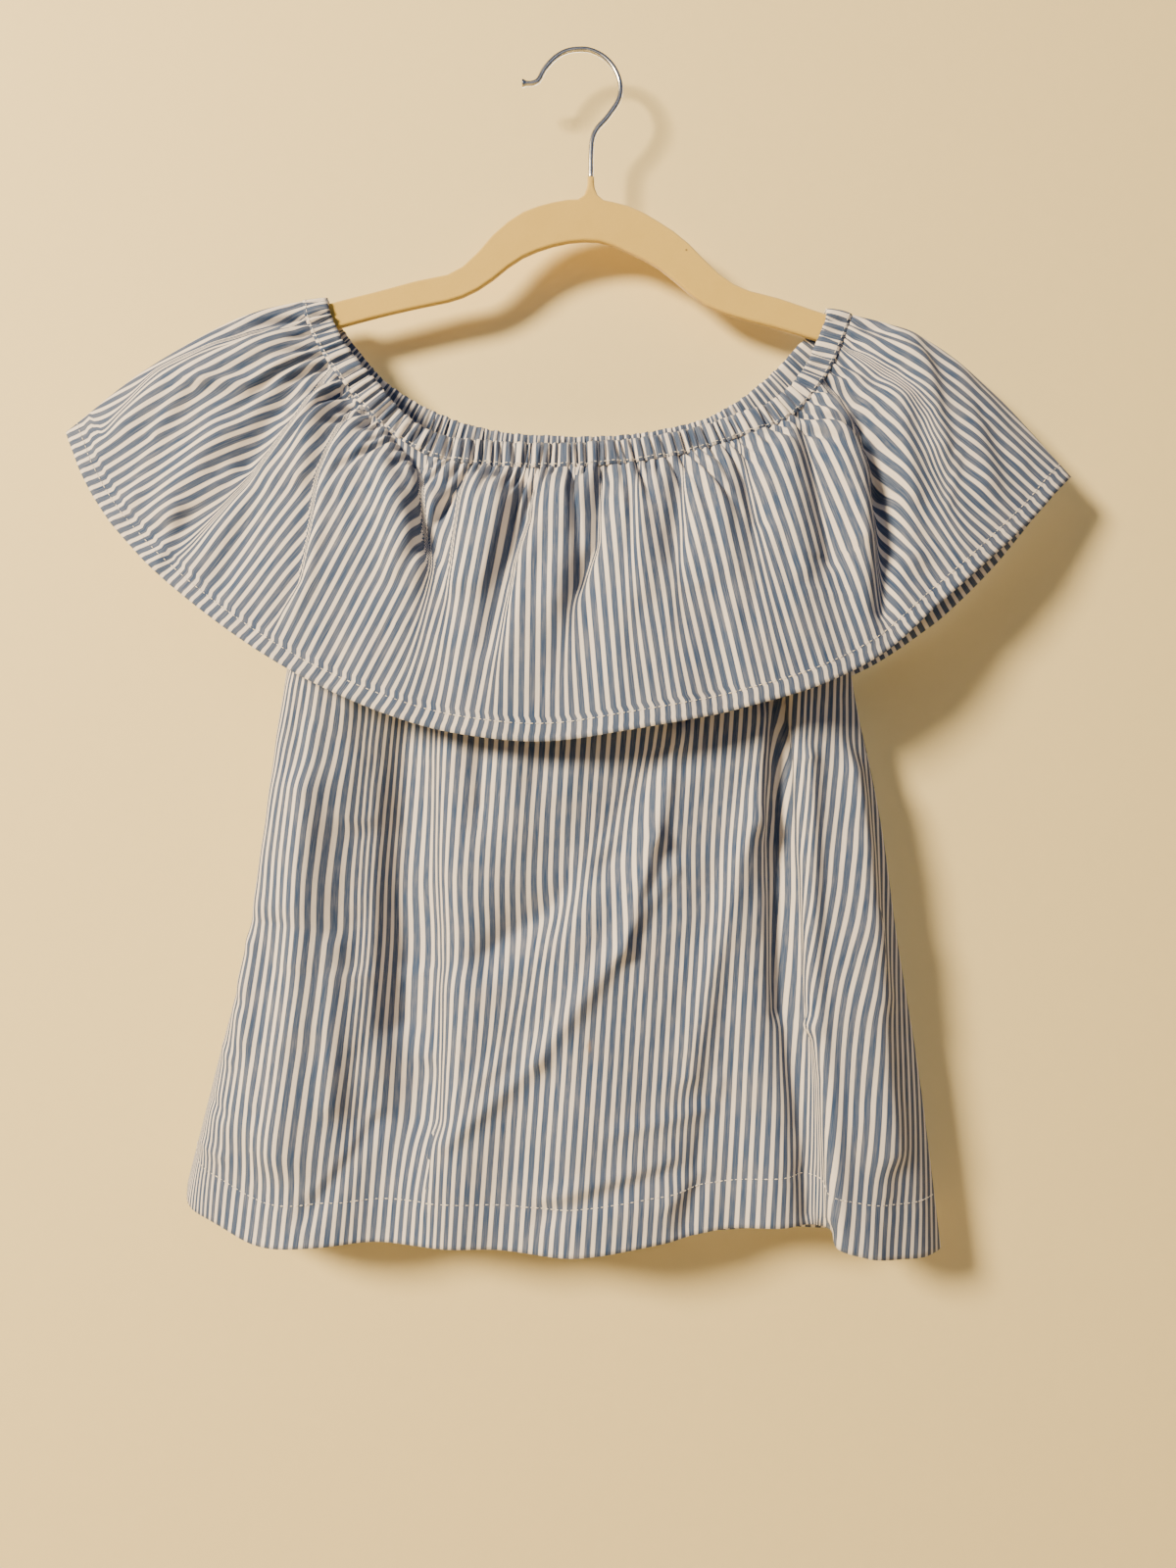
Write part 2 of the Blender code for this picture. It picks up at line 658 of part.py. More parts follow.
def main():
    for obj in list(bpy.data.objects):
        bpy.data.objects.remove(obj)
    collection = bpy.data.collections.new(NAME)
    bpy.context.scene.collection.children.link(collection)
    panel_cloth = surface("striped_cotton_panel", (0.50, 0.60, 0.70), 0.85)
    ruffle_cloth = surface("striped_cotton_ruffle", (0.55, 0.64, 0.74), 0.85)
    casing_cloth = surface("striped_cotton_casing", (0.60, 0.68, 0.76), 0.85)
    flock = surface("cream_flock", (0.66, 0.53, 0.34), 0.95)
    chrome = surface("chromed_wire", (0.62, 0.62, 0.60), 0.2, 1.0)
    hanger_body(flock, collection)
    hanger_hook(chrome, collection)
    neck_casing("neck_casing_front", FRONT, casing_cloth, collection)
    neck_casing("neck_casing_back", BACK, casing_cloth, collection)
    ruffle_front = ruffle_grid(FRONT, RUFFLE_COLUMNS, RUFFLE_ROWS)
    ruffle_back = ruffle_grid(BACK, RUFFLE_COLUMNS, RUFFLE_ROWS)
    cloth_panel("ruffle_front", ruffle_front, FRONT, ruffle_cloth, collection)
    cloth_panel("ruffle_back", ruffle_back, BACK, ruffle_cloth, collection)
    body_front = body_grid(FRONT, BODY_FRONT_COLUMNS, BODY_FRONT_ROWS)
    body_back = body_grid(BACK, BODY_BACK_COLUMNS, BODY_BACK_ROWS)
    cloth_panel("body_front", body_front, FRONT, panel_cloth, collection)
    cloth_panel("body_back", body_back, BACK, panel_cloth, collection)


main()
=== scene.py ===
"""Striped off-shoulder top with a deep gathered flounce, dressed on its hanger.

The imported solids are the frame. Each panel of cloth is made again here on the same outer face, finer,
with its small gathers, creases and stripes. Units are metres, and the tables are in millimetres.
"""

import math

import bmesh
import bpy
import numpy as np
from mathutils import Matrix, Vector


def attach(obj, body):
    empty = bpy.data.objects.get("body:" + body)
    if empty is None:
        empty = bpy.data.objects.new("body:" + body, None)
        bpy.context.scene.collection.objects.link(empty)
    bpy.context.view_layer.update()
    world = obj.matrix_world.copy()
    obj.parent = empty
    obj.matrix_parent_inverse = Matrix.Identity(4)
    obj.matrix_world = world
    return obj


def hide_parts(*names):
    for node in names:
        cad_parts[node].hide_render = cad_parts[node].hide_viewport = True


bl_info = {
    "name": "Striped off-shoulder top",
    "version": (1, 0, 0),
    "blender": (4, 5, 0),
    "location": "View3D > Sidebar > Top",
    "description": "Makes the cloth, stitches, hanger and stage of a striped off-shoulder top",
    "category": "Object",
}

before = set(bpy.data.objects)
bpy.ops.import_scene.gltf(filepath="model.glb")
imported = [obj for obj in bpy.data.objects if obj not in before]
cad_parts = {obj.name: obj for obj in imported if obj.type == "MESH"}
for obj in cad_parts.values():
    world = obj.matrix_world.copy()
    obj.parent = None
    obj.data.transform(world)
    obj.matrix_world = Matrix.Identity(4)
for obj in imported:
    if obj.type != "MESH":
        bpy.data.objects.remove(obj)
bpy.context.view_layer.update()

MM = 0.001
FRONT = -1.0
BACK = 1.0
BODY = "root"

# Cloth
SEAM_GAP = 0.3 * MM
BODY_TUCK = 1.9 * MM
SIDE_ROUND = 4.5 * MM
END_CROWDING = 0.3
EDGE_FADE = 0.04

# How far the gathers push the ruffle off the body, and where down its depth that is greatest
PUFF = {FRONT: 6.0 * MM, BACK: 3.5 * MM}
PUFF_RISE = 0.6

# Elastic neck casing
CASING_THICK = 2.6 * MM
CASING_GATHERS = 68

# Hanger
HANGER_THICK = 5.5 * MM
HANGER_EDGE = 1.4 * MM
HANGER_STEP = 10.0 * MM
WIRE = 3.5 * MM
NECK_TOP = -83.3 * MM
HOOK_FOOT = -83.0 * MM
HOOK_POINTS = 150
HOOK_SIDES = 16


def table(columns, *rows):
    """Named columns, one row of numbers for each section, fold or point."""
    return {name: np.array([row[i] for row in rows], float) for i, name in enumerate(columns.split())}


# The neck, from the left shoulder (0) to the right shoulder (1). The inner edge is the opening,
# the outer edge is where the ruffle hangs, and depth is the distance in front of the hanger.
NECK_LEFT = (
    (0.000, -165, -164, 0.0, -181, -166, 0.0),
    (0.005, -165, -164, 1.6, -181, -166, 1.6),
    (0.015, -165, -165.4, 4.5, -181, -167.4, 4.5),
)
NECK_RIGHT = (
    (0.985, 165, -172.4, 4.5, 181, -176.4, 4.5),
    (0.995, 165, -171, 1.6, 181, -175, 1.6),
    (1.000, 165, -171, 0.0, 181, -175, 0.0),
)
NECK_FRONT = table(
    "along x_in z_in depth_in x_out z_out depth_out",
    *NECK_LEFT,
    (0.035, -163, -173, 6.5, -179, -178, 7.5),
    (0.075, -156, -190, 9.0, -171, -196, 11.0),
    (0.160, -129, -225, 15.0, -143, -236, 17.0),
    (0.245, -105, -251, 20.5, -113, -264, 23.0),
    (0.290, -88, -260, 22.0, -93, -275, 25.0),
    (0.350, -63, -264, 24.0, -65, -280, 27.0),
    (0.500, -2, -267, 28.0, -2, -283, 31.0),
    (0.660, 62, -260, 27.0, 66, -275, 30.0),
    (0.760, 98, -249, 24.0, 104, -263, 27.0),
    (0.850, 132, -233, 19.0, 142, -245, 21.0),
    (0.930, 153, -204, 11.0, 168, -209, 13.0),
    (0.965, 162, -183, 7.0, 177, -188, 8.0),
    *NECK_RIGHT,
)
NECK_BACK = table(
    "along x_in z_in depth_in x_out z_out depth_out",
    *NECK_LEFT,
    (0.035, -163, -172, 6.0, -178, -178, 6.5),
    (0.080, -152, -188, 8.0, -164, -199, 9.0),
    (0.160, -129, -215, 11.0, -139, -228, 12.0),
    (0.250, -98, -234, 13.0, -105, -249, 14.0),
    (0.350, -62, -246, 14.0, -65, -262, 15.0),
    (0.500, 2, -251, 15.0, 2, -267, 16.0),
    (0.660, 60, -246, 14.5, 63, -262, 15.5),
    (0.760, 94, -236, 13.0, 101, -251, 14.0),
    (0.850, 125, -215, 11.0, 136, -227, 12.0),
    (0.930, 150, -190, 8.0, 163, -200, 9.0),
    (0.965, 161, -179, 6.0, 175, -187, 6.5),
    *NECK_RIGHT,
)

# The ridge of the ruffle over each shoulder, from the casing (0) to the tip of its hem (1)
SHOULDERS = table(
    "down x_left z_left x_right z_right",
    (0.00, -181, -166, 181, -175),
    (0.16, -207, -172, 207, -183),
    (0.40, -240, -185, 240, -198),
    (0.68, -287, -212, 277, -228),
    (1.00, -338, -252, 327, -282),
)
RUFFLE_HEM_FRONT = table(
    "along x z depth",
    (0.000, -338, -252, 0),
    (0.024, -330, -269, 6),
    (0.074, -311, -304, 14),
    (0.130, -282, -338, 22),
    (0.205, -236, -377, 31),
    (0.312, -163, -423, 41),
    (0.429, -75, -454, 49),
    (0.488, -28, -459, 51),
    (0.566, 34, -452, 53),
    (0.644, 96, -440, 53),
    (0.729, 161, -420, 48),
    (0.770, 190, -405, 42),
    (0.833, 228, -373, 33),
    (0.910, 275, -332, 22),
    (0.953, 300, -309, 14),
    (0.981, 316, -292, 7),
    (1.000, 327, -282, 0),
)
RUFFLE_HEM_BACK = table(
    "along x z depth",
    (0.000, -338, -252, 0),
    (0.024, -331, -267, 4),
    (0.074, -312, -300, 9),
    (0.130, -284, -332, 13),
    (0.205, -239, -370, 17),
    (0.312, -166, -414, 20),
    (0.500, -15, -448, 21),
    (0.644, 98, -437, 21),
    (0.729, 163, -421, 20),
    (0.770, 195, -408, 18),
    (0.833, 238, -380, 16),
    (0.910, 284, -336, 12),
    (0.953, 306, -308, 8),
    (0.981, 319, -292, 4),
    (1.000, 327, -282, 0),
)

# The body's side edges, from the casing (0) past the underarm to the hem (1). Gap is how far the
# front and back edges stand from the middle plane: the armholes, and nothing at the side seams.
SIDES = table(
    "down x_left z_left x_right z_right gap",
    (0.00, -160, -214, 160, -222, 11.5),
    (0.12, -168, -285, 168, -295, 9.5),
    (0.24, -181, -350, 176, -365, 7.0),
    (0.34, -191, -405, 182, -420, 3.5),
    (0.40, -196, -435, 188, -447, 0.0),
    (0.55, -205, -512, 202, -515, 0.0),
    (0.70, -216, -585, 212, -587, 0.0),
    (0.85, -236, -663, 227, -680, 0.0),
    (1.00, -257, -746, 241, -791, 0.0),
)
BODY_TOP = (0.10, 0.90)
BODY_HEM_FRONT = table(
    "along x z depth",
    (0.000, -257, -746, 0),
    (0.025, -254, -759, 8),
    (0.060, -238, -769, 14),
    (0.110, -212, -780, 20),
    (0.200, -168, -780, 31),
    (0.280, -128, -778, 24),
    (0.360, -88, -779, 34),
    (0.450, -44, -781, 32),
    (0.530, -4, -783, 39),
    (0.630, 47, -777, 35),
    (0.730, 98, -769, 27),
    (0.800, 132, -767, 30),
    (0.840, 152, -768, 23),
    (0.862, 161, -772, 24),
    (0.880, 167, -779, 34),
    (0.905, 182, -784, 36),
    (0.950, 209, -789, 25),
    (0.985, 230, -791, 12),
    (1.000, 241, -791, 0),
)
BODY_HEM_BACK = table(
    "along x z depth",
    (0.000, -257, -746, 0),
    (0.030, -252, -760, 7),
    (0.080, -232, -774, 12),
    (0.160, -190, -782, 17),
    (0.260, -140, -785, 14),
    (0.380, -80, -786, 19),
    (0.500, -20, -786, 15),
    (0.620, 42, -787, 19),
    (0.740, 102, -788, 16),
    (0.840, 152, -788, 20),
    (0.920, 196, -789, 14),
    (0.970, 226, -791, 8),
    (1.000, 241, -791, 0),
)

# Folds, each from one place to another in the front view. A width is half of the fold's spread
# and a rise is how far it stands out; a negative rise is a trough.
RUFFLE_FOLDS_FRONT = table(
    "x1 z1 x2 z2 width rise",
    (-185, -184, -275, -207, 9, -3.5),
    (-172, -208, -214, -277, 7, -6.0),
    (-190, -196, -240, -222, 8, 4.0),
    (-162, -222, -176, -290, 8, 4.0),
    (-115, -272, -93, -335, 7, -5.5),
    (-122, -278, -112, -350, 9, 5.0),
    (-78, -285, -88, -342, 6, -4.5),
    (-100, -290, -76, -360, 7, 3.5),
    (-30, -292, -56, -400, 7, -4.0),
    (-50, -295, -62, -360, 8, 3.0),
    (14, -290, 4, -360, 7, -4.0),
    (-6, -292, -16, -370, 9, 3.5),
    (66, -290, 60, -345, 7, -4.0),
    (40, -290, 40, -365, 9, 3.0),
    (108, -272, 116, -320, 6, -3.5),
    (88, -280, 90, -350, 9, 3.5),
    (146, -262, 160, -345, 6, -4.0),
    (130, -265, 142, -350, 8, 3.5),
    (172, -222, 194, -300, 7, -6.0),
    (194, -300, 193, -375, 8, -5.5),
    (160, -240, 178, -330, 8, 5.0),
    (208, -240, 214, -340, 10, 5.0),
    (212, -196, 232, -268, 9, 4.0),
    (250, -215, 262, -290, 11, 3.5),
    (-230, -260, -262, -310, 12, 4.0),
    (-205, -300, -225, -352, 11, -3.5),
)
RUFFLE_FOLDS_BACK = table(
    "x1 z1 x2 z2 width rise",
    (-176, -212, -222, -288, 9, -3.0),
    (-150, -232, -168, -310, 9, 2.5),
    (-112, -262, -118, -340, 9, -2.5),
    (-80, -272, -78, -350, 9, 2.5),
    (-44, -278, -50, -350, 9, -2.5),
    (-8, -280, -12, -370, 10, 2.5),
    (30, -278, 28, -345, 9, -2.5),
    (66, -272, 72, -350, 9, 2.5),
    (104, -262, 112, -335, 9, -2.5),
    (144, -238, 166, -320, 10, 2.5),
    (176, -212, 216, -290, 9, -3.0),
)
BODY_FOLDS_FRONT = table(
    "x1 z1 x2 z2 width rise",
    (-128, -430, -116, -640, 11, -8.0),
    (-148, -425, -143, -650, 9, 5.0),
    (-100, -430, -102, -660, 9, 5.0),
    (-63, -455, -63, -510, 7, -3.0),
    (62, -470, 22, -535, 11, -6.0),
    (22, -535, -58, -600, 10, -5.0),
    (66, -450, 48, -520, 7, 5.0),
    (48, -520, 28, -590, 7, 5.5),
    (28, -590, -24, -660, 7, 5.0),
    (-24, -660, -84, -712, 7, 4.0),
    (122, -440, 114, -510, 9, 5.0),
    (114, -510, 72, -670, 9, 4.5),
    (132, -425, 132, -630, 7, -7.0),
    (148, -470, 150, -640, 6, 5.0),
    (150, -640, 160, -760, 6, 5.0),
    (138, -640, 148, -760, 6, -4.0),
    (-130, -706, -172, -760, 8, -3.5),
    (-20, -758, 60, -732, 7, -3.0),
    (-155, -590, -157, -690, 7, 3.5),
    (-216, -590, -213, -650, 9, 3.0),
    (88, -690, 70, -765, 8, -3.5),
    (180, -470, 196, -620, 12, 3.0),
)
BODY_FOLDS_BACK = table(
    "x1 z1 x2 z2 width rise",
    (-150, -400, -160, -700, 12, -2.5),
    (-95, -330, -98, -720, 13, 2.5),
    (-40, -330, -46, -740, 12, -2.5),
    (12, -330, 10, -700, 13, 2.5),
    (62, -330, 66, -740, 12, -2.5),
    (112, -380, 124, -720, 13, 2.5),
    (160, -430, 178, -700, 12, -2.5),
)

# The hanger's edges, and the wire of its hook from the tip to its foot
HANGER = table(
    "x top low",
    (-206, -181, -198),
    (-185, -174, -191),
    (-164, -167.5, -185),
    (-131, -159, -176),
    (-103, -151.5, -169.5),
    (-82, -146.5, -165),
    (-71, -139, -161),
    (-58, -124, -153),
    (-40, -109, -139),
    (-19, -101, -130),
    (3, -98, -126),
    (16, -99, -126.5),
    (35, -103, -134),
    (57, -115, -146),
    (71, -125, -158),
    (81, -135, -166),
    (92, -146, -171.5),
    (103, -154, -175.5),
    (134, -164, -184),
    (165, -174.5, -193.5),
    (190, -182, -201),
    (214, -190, -208),
)
HANGER_NECK = table(
    "x z",
    (0.5, -98.4),
    (4.5, -95.5),
    (6.2, -91.5),
    (6.8, -88.0),
    (6.8, NECK_TOP / MM),
    (11.2, NECK_TOP / MM),
    (11.2, -88.0),
    (11.8, -91.5),
    (13.5, -95.5),
    (17.5, -98.8),
)
HOOK = table(
    "x z radius",
    (-36.5, -20.8, 1.55),
    (-35.6, -20.8, 1.5),
    (-33.5, -20.9, 1.0),
    (-29.5, -20.7, 1.0),
    (-25.6, -18.4, 1.0),
    (-21.5, -11.0, 1.0),
    (-14.5, -3.6, 1.0),
    (-7, 0.5, 1.0),
    (1, 1.75, 1.0),
    (9, 1.0, 1.0),
    (18, -3.5, 1.0),
    (25, -11.5, 1.0),
    (28.6, -22, 1.0),
    (27.2, -32, 1.0),
    (20, -43, 1.0),
    (13, -51, 1.0),
    (10, -58, 1.0),
    (9.1, -68, 1.0),
    (9, HOOK_FOOT / MM, 1.0),
)


def smooth(xs, ys, at):
    """Read a smooth curve through the points (xs, ys) at each of the places in `at`."""
    slope = np.gradient(ys, xs)
    i = np.clip(np.searchsorted(xs, at) - 1, 0, len(xs) - 2)
    width = xs[i + 1] - xs[i]
    t = (at - xs[i]) / width
    start = (1 + 2 * t) * (1 - t) ** 2 * ys[i] + t * (1 - t) ** 2 * width * slope[i]
    end = t * t * (3 - 2 * t) * ys[i + 1] + t * t * (t - 1) * width * slope[i + 1]
    return start + end


def edge(rows, key, at, x, z, depth=None, side=FRONT):
    """Points of an edge in metres, read from three columns of a table."""
    y = np.zeros_like(at) if depth is None else smooth(rows[key], rows[depth], at)
    points = [smooth(rows[key], rows[x], at), side * y, smooth(rows[key], rows[z], at)]
    return np.stack(points, -1) * MM


def unit(vectors):
    """The same directions with a length of 1."""
    return vectors / np.maximum(np.linalg.norm(vectors, axis=-1, keepdims=True), 1e-12)


def neck_edges(side, along):
    """The inner and outer edges of the casing's outer face."""
    rows = NECK_FRONT if side == FRONT else NECK_BACK
    inner = edge(rows, "along", along, "x_in", "z_in", "depth_in", side)
    outer = edge(rows, "along", along, "x_out", "z_out", "depth_out", side)
    seam = side * SEAM_GAP / 2
    for points in (inner, outer):
        points[:, 1] = side * np.maximum(side * points[:, 1], side * seam)
    return inner, outer


def out_of(grid, side):
    """Unit normals of a grid of points, pointing out of the garment."""
    down, across = np.gradient(grid, axis=0), np.gradient(grid, axis=1)
    return unit(np.cross(across, down)) * side


def coons(top, low, left, right, down, along):
    """A surface between four edges: the top and hem, and the two sides."""
    s, t = along[None, :, None], down[:, None, None]
    ruled = (1 - t) * top[None] + t * low[None]
    ends_left = (1 - t) * top[0] + t * low[0]
    ends_right = (1 - t) * top[-1] + t * low[-1]
    return ruled + (1 - s) * (left[:, None] - ends_left) + s * (right[:, None] - ends_right)


def from_segment(grid, x1, z1, x2, z2):
    """Distance in millimetres from a segment in the front view to each point of a grid."""
    x, z = grid[..., 0] / MM, grid[..., 2] / MM
    run = (x2 - x1) ** 2 + (z2 - z1) ** 2
    part = np.clip(((x - x1) * (x2 - x1) + (z - z1) * (z2 - z1)) / run, 0, 1)
    return np.hypot(x - x1 - part * (x2 - x1), z - z1 - part * (z2 - z1))


def fold_rise(grid, folds):
    """How far the folds lift each point of a grid, by its place in the front view."""
    rise = np.zeros(grid.shape[:2])
    for *segment, width, height in zip(*folds.values()):
        rise += height * np.exp(-((from_segment(grid, *segment) / width) ** 2))
    return rise * MM


def meet(side_edge, start, down):
    """Shift the first part of a side edge so that it starts at the end of the top edge."""
    return side_edge + (start - side_edge[0]) * (1 - ease(down, 0.0, 0.25))[:, None]


def inside_edges(along):
    """0 at the two side edges and 1 over the rest of a panel."""
    return ease(np.minimum(along, 1 - along), 0.0, EDGE_FADE)


def round_edges(grid, side, rows_round):
    """Turn the two side edges of a panel toward its neighbour, on a small radius."""
    steps = np.linalg.norm(np.diff(grid, axis=1), axis=-1)
    from_left = np.concatenate([np.zeros((len(grid), 1)), np.cumsum(steps, axis=1)], axis=1)
    nearest = np.minimum(from_left, from_left[:, -1:] - from_left)
    turn = np.sqrt(1 - (1 - np.clip(nearest / SIDE_ROUND, 0, 1)) ** 2)
    grid[..., 1] += side * SIDE_ROUND * turn * rows_round[:, None]
    return grid


def ease(value, start, end):
    """0 before start, 1 after end, and a soft step between them."""
    t = np.clip((value - start) / (end - start), 0, 1)
    return t * t * (3 - 2 * t)


def hanger_outline():
    """The hanger seen from the front: its top edge, right end, lower edge and left end."""
    places = np.arange(HANGER["x"][0], HANGER["x"][-1], HANGER_STEP / MM)
    places = np.append(places, HANGER["x"][-1])
    top = np.stack([places, smooth(HANGER["x"], HANGER["top"], places)], -1)
    low = np.stack([places, smooth(HANGER["x"], HANGER["low"], places)], -1)
    neck = np.stack([HANGER_NECK["x"], HANGER_NECK["z"]], -1)
    before = top[top[:, 0] < neck[0, 0] - 2]
    after = top[top[:, 0] > neck[-1, 0] + 2]
    ends = []
    for sign, upper, lower in ((1, top[-1], low[-1]), (-1, low[0], top[0])):
        middle, half = (upper + lower) / 2, (upper - lower) / 2
        turn = np.radians([45, 90, 135])[:, None]
        bulge = np.array([half[1], -half[0]])
        ends.append(middle + half * np.cos(turn) + bulge * np.sin(turn))
    return np.concatenate([before, neck, after, ends[0], low[::-1], ends[1]]) * MM


# Outer faces of the panels: columns and rows of points, with the body's rows crowded below what the
# flounce covers
RUFFLE_FINE = {FRONT: (560, 84), BACK: (420, 60)}
BODY_FINE = {FRONT: (300, 152), BACK: (240, 90)}
RUFFLE_TABLES = {FRONT: (RUFFLE_HEM_FRONT, RUFFLE_FOLDS_FRONT), BACK: (RUFFLE_HEM_BACK, RUFFLE_FOLDS_BACK)}
BODY_TABLES = {FRONT: (BODY_HEM_FRONT, BODY_FOLDS_FRONT), BACK: (BODY_HEM_BACK, BODY_FOLDS_BACK)}
ROW_CROWDING = 1.12
BODY_CROWDING = 0.5
COVERED = 0.36
COVERED_ROWS = 6

# Walls, and how far a panel reaches up behind its seam and lies under the casing
SHELL = 0.6 * MM
HEM_SHELL = 1.3 * MM
RUFFLE_HEM_ROWS = 5
BODY_HEM_ROWS = 6
SEAM_TUCK = 1.4 * MM
RUFFLE_TUCK = 1.0 * MM

# Where down a panel its side edges start to turn toward each other, and where they are round
RUFFLE_ROUNDED = (0.0, 0.25)
BODY_ROUNDED = (0.30, 0.42)

# Cloth cut for the flounce, from its centre to each shoulder seam
RUFFLE_HALF = 0.425
RUFFLE_CENTRE = -9.0
RUFFLE_DEPTH = 0.186

# Cloth that shows on one face of the casing, from its centre to its end, and its depth
CASING_HALF = 0.35
CASING_CLOTH = 0.016

# Points of the casing across each face, steps between two gathers, and the seeds of its outer and inner
# face
CASING_POINTS = 7
CASING_STEPS = 10
CASING_SEEDS = {FRONT: (11, 41), BACK: (12, 42)}
LEAN_SEED = 61
FRILL_SEED = 51
CASING_END = 0.006

# Millimetres that a puff of the casing stands out of its valleys, that the valleys lie below the middle
# of the puff, and that the whole face lies below the solid's, for the outer and the inner face
OUTER_PUFF = (4.2, 2.4, 0.15)
INNER_PUFF = (1.6, 0.2, 0.7)

# Gathers under the casing. Each has a shift from its even place, a depth, a length and a lean between
# two ends, and every fourth one is long and deeper.
GATHER_SHIFT = 0.28
GATHER_DEPTHS = (0.6, 1.25)
GATHER_LENGTHS = (0.10, 0.34)
LONG_GATHERS = (0.45, 0.85)
LONG_GATHER_DEPTH = 1.25
GATHER_LEAN = 0.07
GATHER_WIDTH = 0.0028
GATHER_SPREAD = 0.0085
PUFF_WIDTH = 0.0026

# Share of a fold's spare cloth that small gathers take near the casing, and how far along from the fold
GATHERED_SHARE = 0.34
GATHERED_REACH = 28 * MM

# A fold narrower than this hides its cloth at once, and a wider one over a longer reach
CRISP_WIDTH = 4
CRISP_REACH = 0.9
SOFT_REACH = 1.1
OPEN_SIDE = 2.6
GATHER_DEPTH = 4.4 * MM

# Unevenness of worn cotton: share of the crumple's height, size across and down, seed, and 1 where it
# fades out toward the neck
RUFFLE_CRUMPLE = ((2.6, 0.034, 0.16, 21, 1), (1.0, 0.017, 0.05, 25, 1), (0.55, 0.011, 0.016, 22, 0))
BODY_CRUMPLE = ((2.2, 0.036, 0.19, 31, 0), (0.9, 0.019, 0.06, 34, 0), (0.6, 0.013, 0.018, 32, 0))

# Folds that hide cloth, from the casing to the hem. Each row is a point of a fold, with the depth of its
# trough, half of its width, and the height of the flap over it. A negative flap lies on the fold's left.
RUFFLE_LINES = table(
    "fold x z depth width flap",
    (1, -183, -180, 3.0, 3, 1.5),
    (1, -230, -195, 4.0, 4, 2.5),
    (1, -276, -212, 3.0, 5, 2.0),
    (1, -312, -262, 0.6, 8, 0),
    (2, -160, -214, 5.0, 3, 2.5),
    (2, -185, -253, 7.0, 4.5, 3.5),
    (2, -207, -284, 6.0, 5, 3.0),
    (2, -223, -303, 3.5, 5, 2.0),
    (2, -251, -335, 1.5, 7, 0.5),
    (2, -268, -352, 0.4, 9, 0),
    (3, -146, -240, 3.0, 3, 1.0),
    (3, -158, -270, 2.5, 3, 1.5),
    (3, -165, -290, 2.0, 3, 1.5),
    (3, -169, -323, 2.2, 2.5, 1.8),
    (3, -174, -358, 2.2, 2.5, 1.8),
    (3, -185, -376, 1.4, 3.5, 1.0),
    (3, -197, -400, 0.3, 7, 0),
    (4, -117, -262, 5.0, 3, -3.0),
    (4, -104, -276, 8.0, 3.5, -4.0),
    (4, -99, -292, 9.0, 4, -4.5),
    (4, -97, -328, 7.0, 4, -3.5),
    (4, -91, -350, 3.5, 5, -2.0),
    (4, -98, -390, 1.0, 8, 0),
    (4, -108, -443, 0.2, 12, 0),
    (5, -68, -277, 3.5, 3, 1.5),
    (5, -75, -300, 6.0, 4, 2.5),
    (5, -78, -328, 6.0, 4, 3.0),
    (5, -79, -350, 4.5, 4, 2.0),
    (5, -84, -390, 1.0, 8, 0),
    (5, -86, -449, 0.2, 12, 0),
    (6, -26, -283, 4.5, 3, 2.0),
    (6, -30, -318, 6.0, 4, 3.0),
    (6, -38, -340, 6.0, 4, 3.0),
    (6, -43, -370, 4.0, 5, 2.0),
    (6, -51, -418, 1.2, 7, 0),
    (6, -56, -457, 0.2, 12, 0),
    (7, 16, -283, 4.0, 3, -2.0),
    (7, 14, -337, 4.5, 4, -3.0),
    (7, -2, -375, 2.5, 6, -1.5),
    (7, -12, -457, 0.2, 14, 0),
    (8, 40, -281, 2.5, 3, -1.0),
    (8, 38, -310, 1.4, 7, 0),
    (8, 36, -340, 0.4, 8, 0),
    (8, 32, -452, 0.1, 14, 0),
    (9, 68, -275, 3.4, 3, 1.5),
    (9, 67, -325, 3.0, 6, 1.2),
    (9, 64, -350, 1.6, 6, 0.5),
    (9, 60, -447, 0.2, 14, 0),
    (10, 104, -263, 3.4, 4, 1.5),
    (10, 110, -303, 3.0, 6, 1.2),
    (10, 116, -350, 1.0, 8, 0),
    (10, 130, -430, 0.2, 14, 0),
    (11, 142, -245, 3.0, 3, -1.2),
    (11, 150, -283, 3.0, 5.5, -1.2),
    (11, 159, -324, 2.6, 6, -1.0),
    (11, 163, -350, 1.8, 6, 0.5),
    (11, 174, -414, 0.2, 14, 0),
    (12, 156, -220, 4.5, 3, -2.5),
    (12, 175, -241, 7.0, 4, -3.5),
    (12, 184, -261, 8.0, 4, -4.0),
    (12, 190, -281, 8.5, 4, -4.0),
    (12, 192, -307, 8.0, 4, -4.0),
    (12, 193, -332, 7.0, 4.5, -3.5),
    (12, 194, -378, 4.5, 6, -2.0),
    (12, 200, -400, 2.0, 9, -1.0),
    (13, 172, -198, 3.0, 5, 1.0),
    (13, 205, -222, 3.0, 9, 1.0),
    (13, 224, -250, 2.0, 11, 0.6),
    (13, 234, -300, 1.0, 14, 0),
    (13, 250, -353, 0.2, 16, 0),
)

# One stripe of each panel of cloth between two folds, by a place on it and its lean from upright in
# degrees. Its neighbours run side by side with it.
RUFFLE_STRIPES = table(
    "x z lean",
    (-256, -210, -66),
    (-256, -265, -60),
    (-177, -338, -38),
    (-121, -338, -28),
    (-93, -363, -17),
    (-63, -363, -11),
    (-17, -363, -1),
    (32, -363, 5),
    (54, -363, 9),
    (87, -363, 13),
    (130, -351, 17),
    (173, -338, 19),
    (194, -338, 36),
    (243, -283, 51),
)
RUFFLE_BACK_FOLDS = (0.06, 0.13, 0.21, 0.30, 0.38, 0.47, 0.55, 0.63, 0.71, 0.79, 0.87, 0.94)

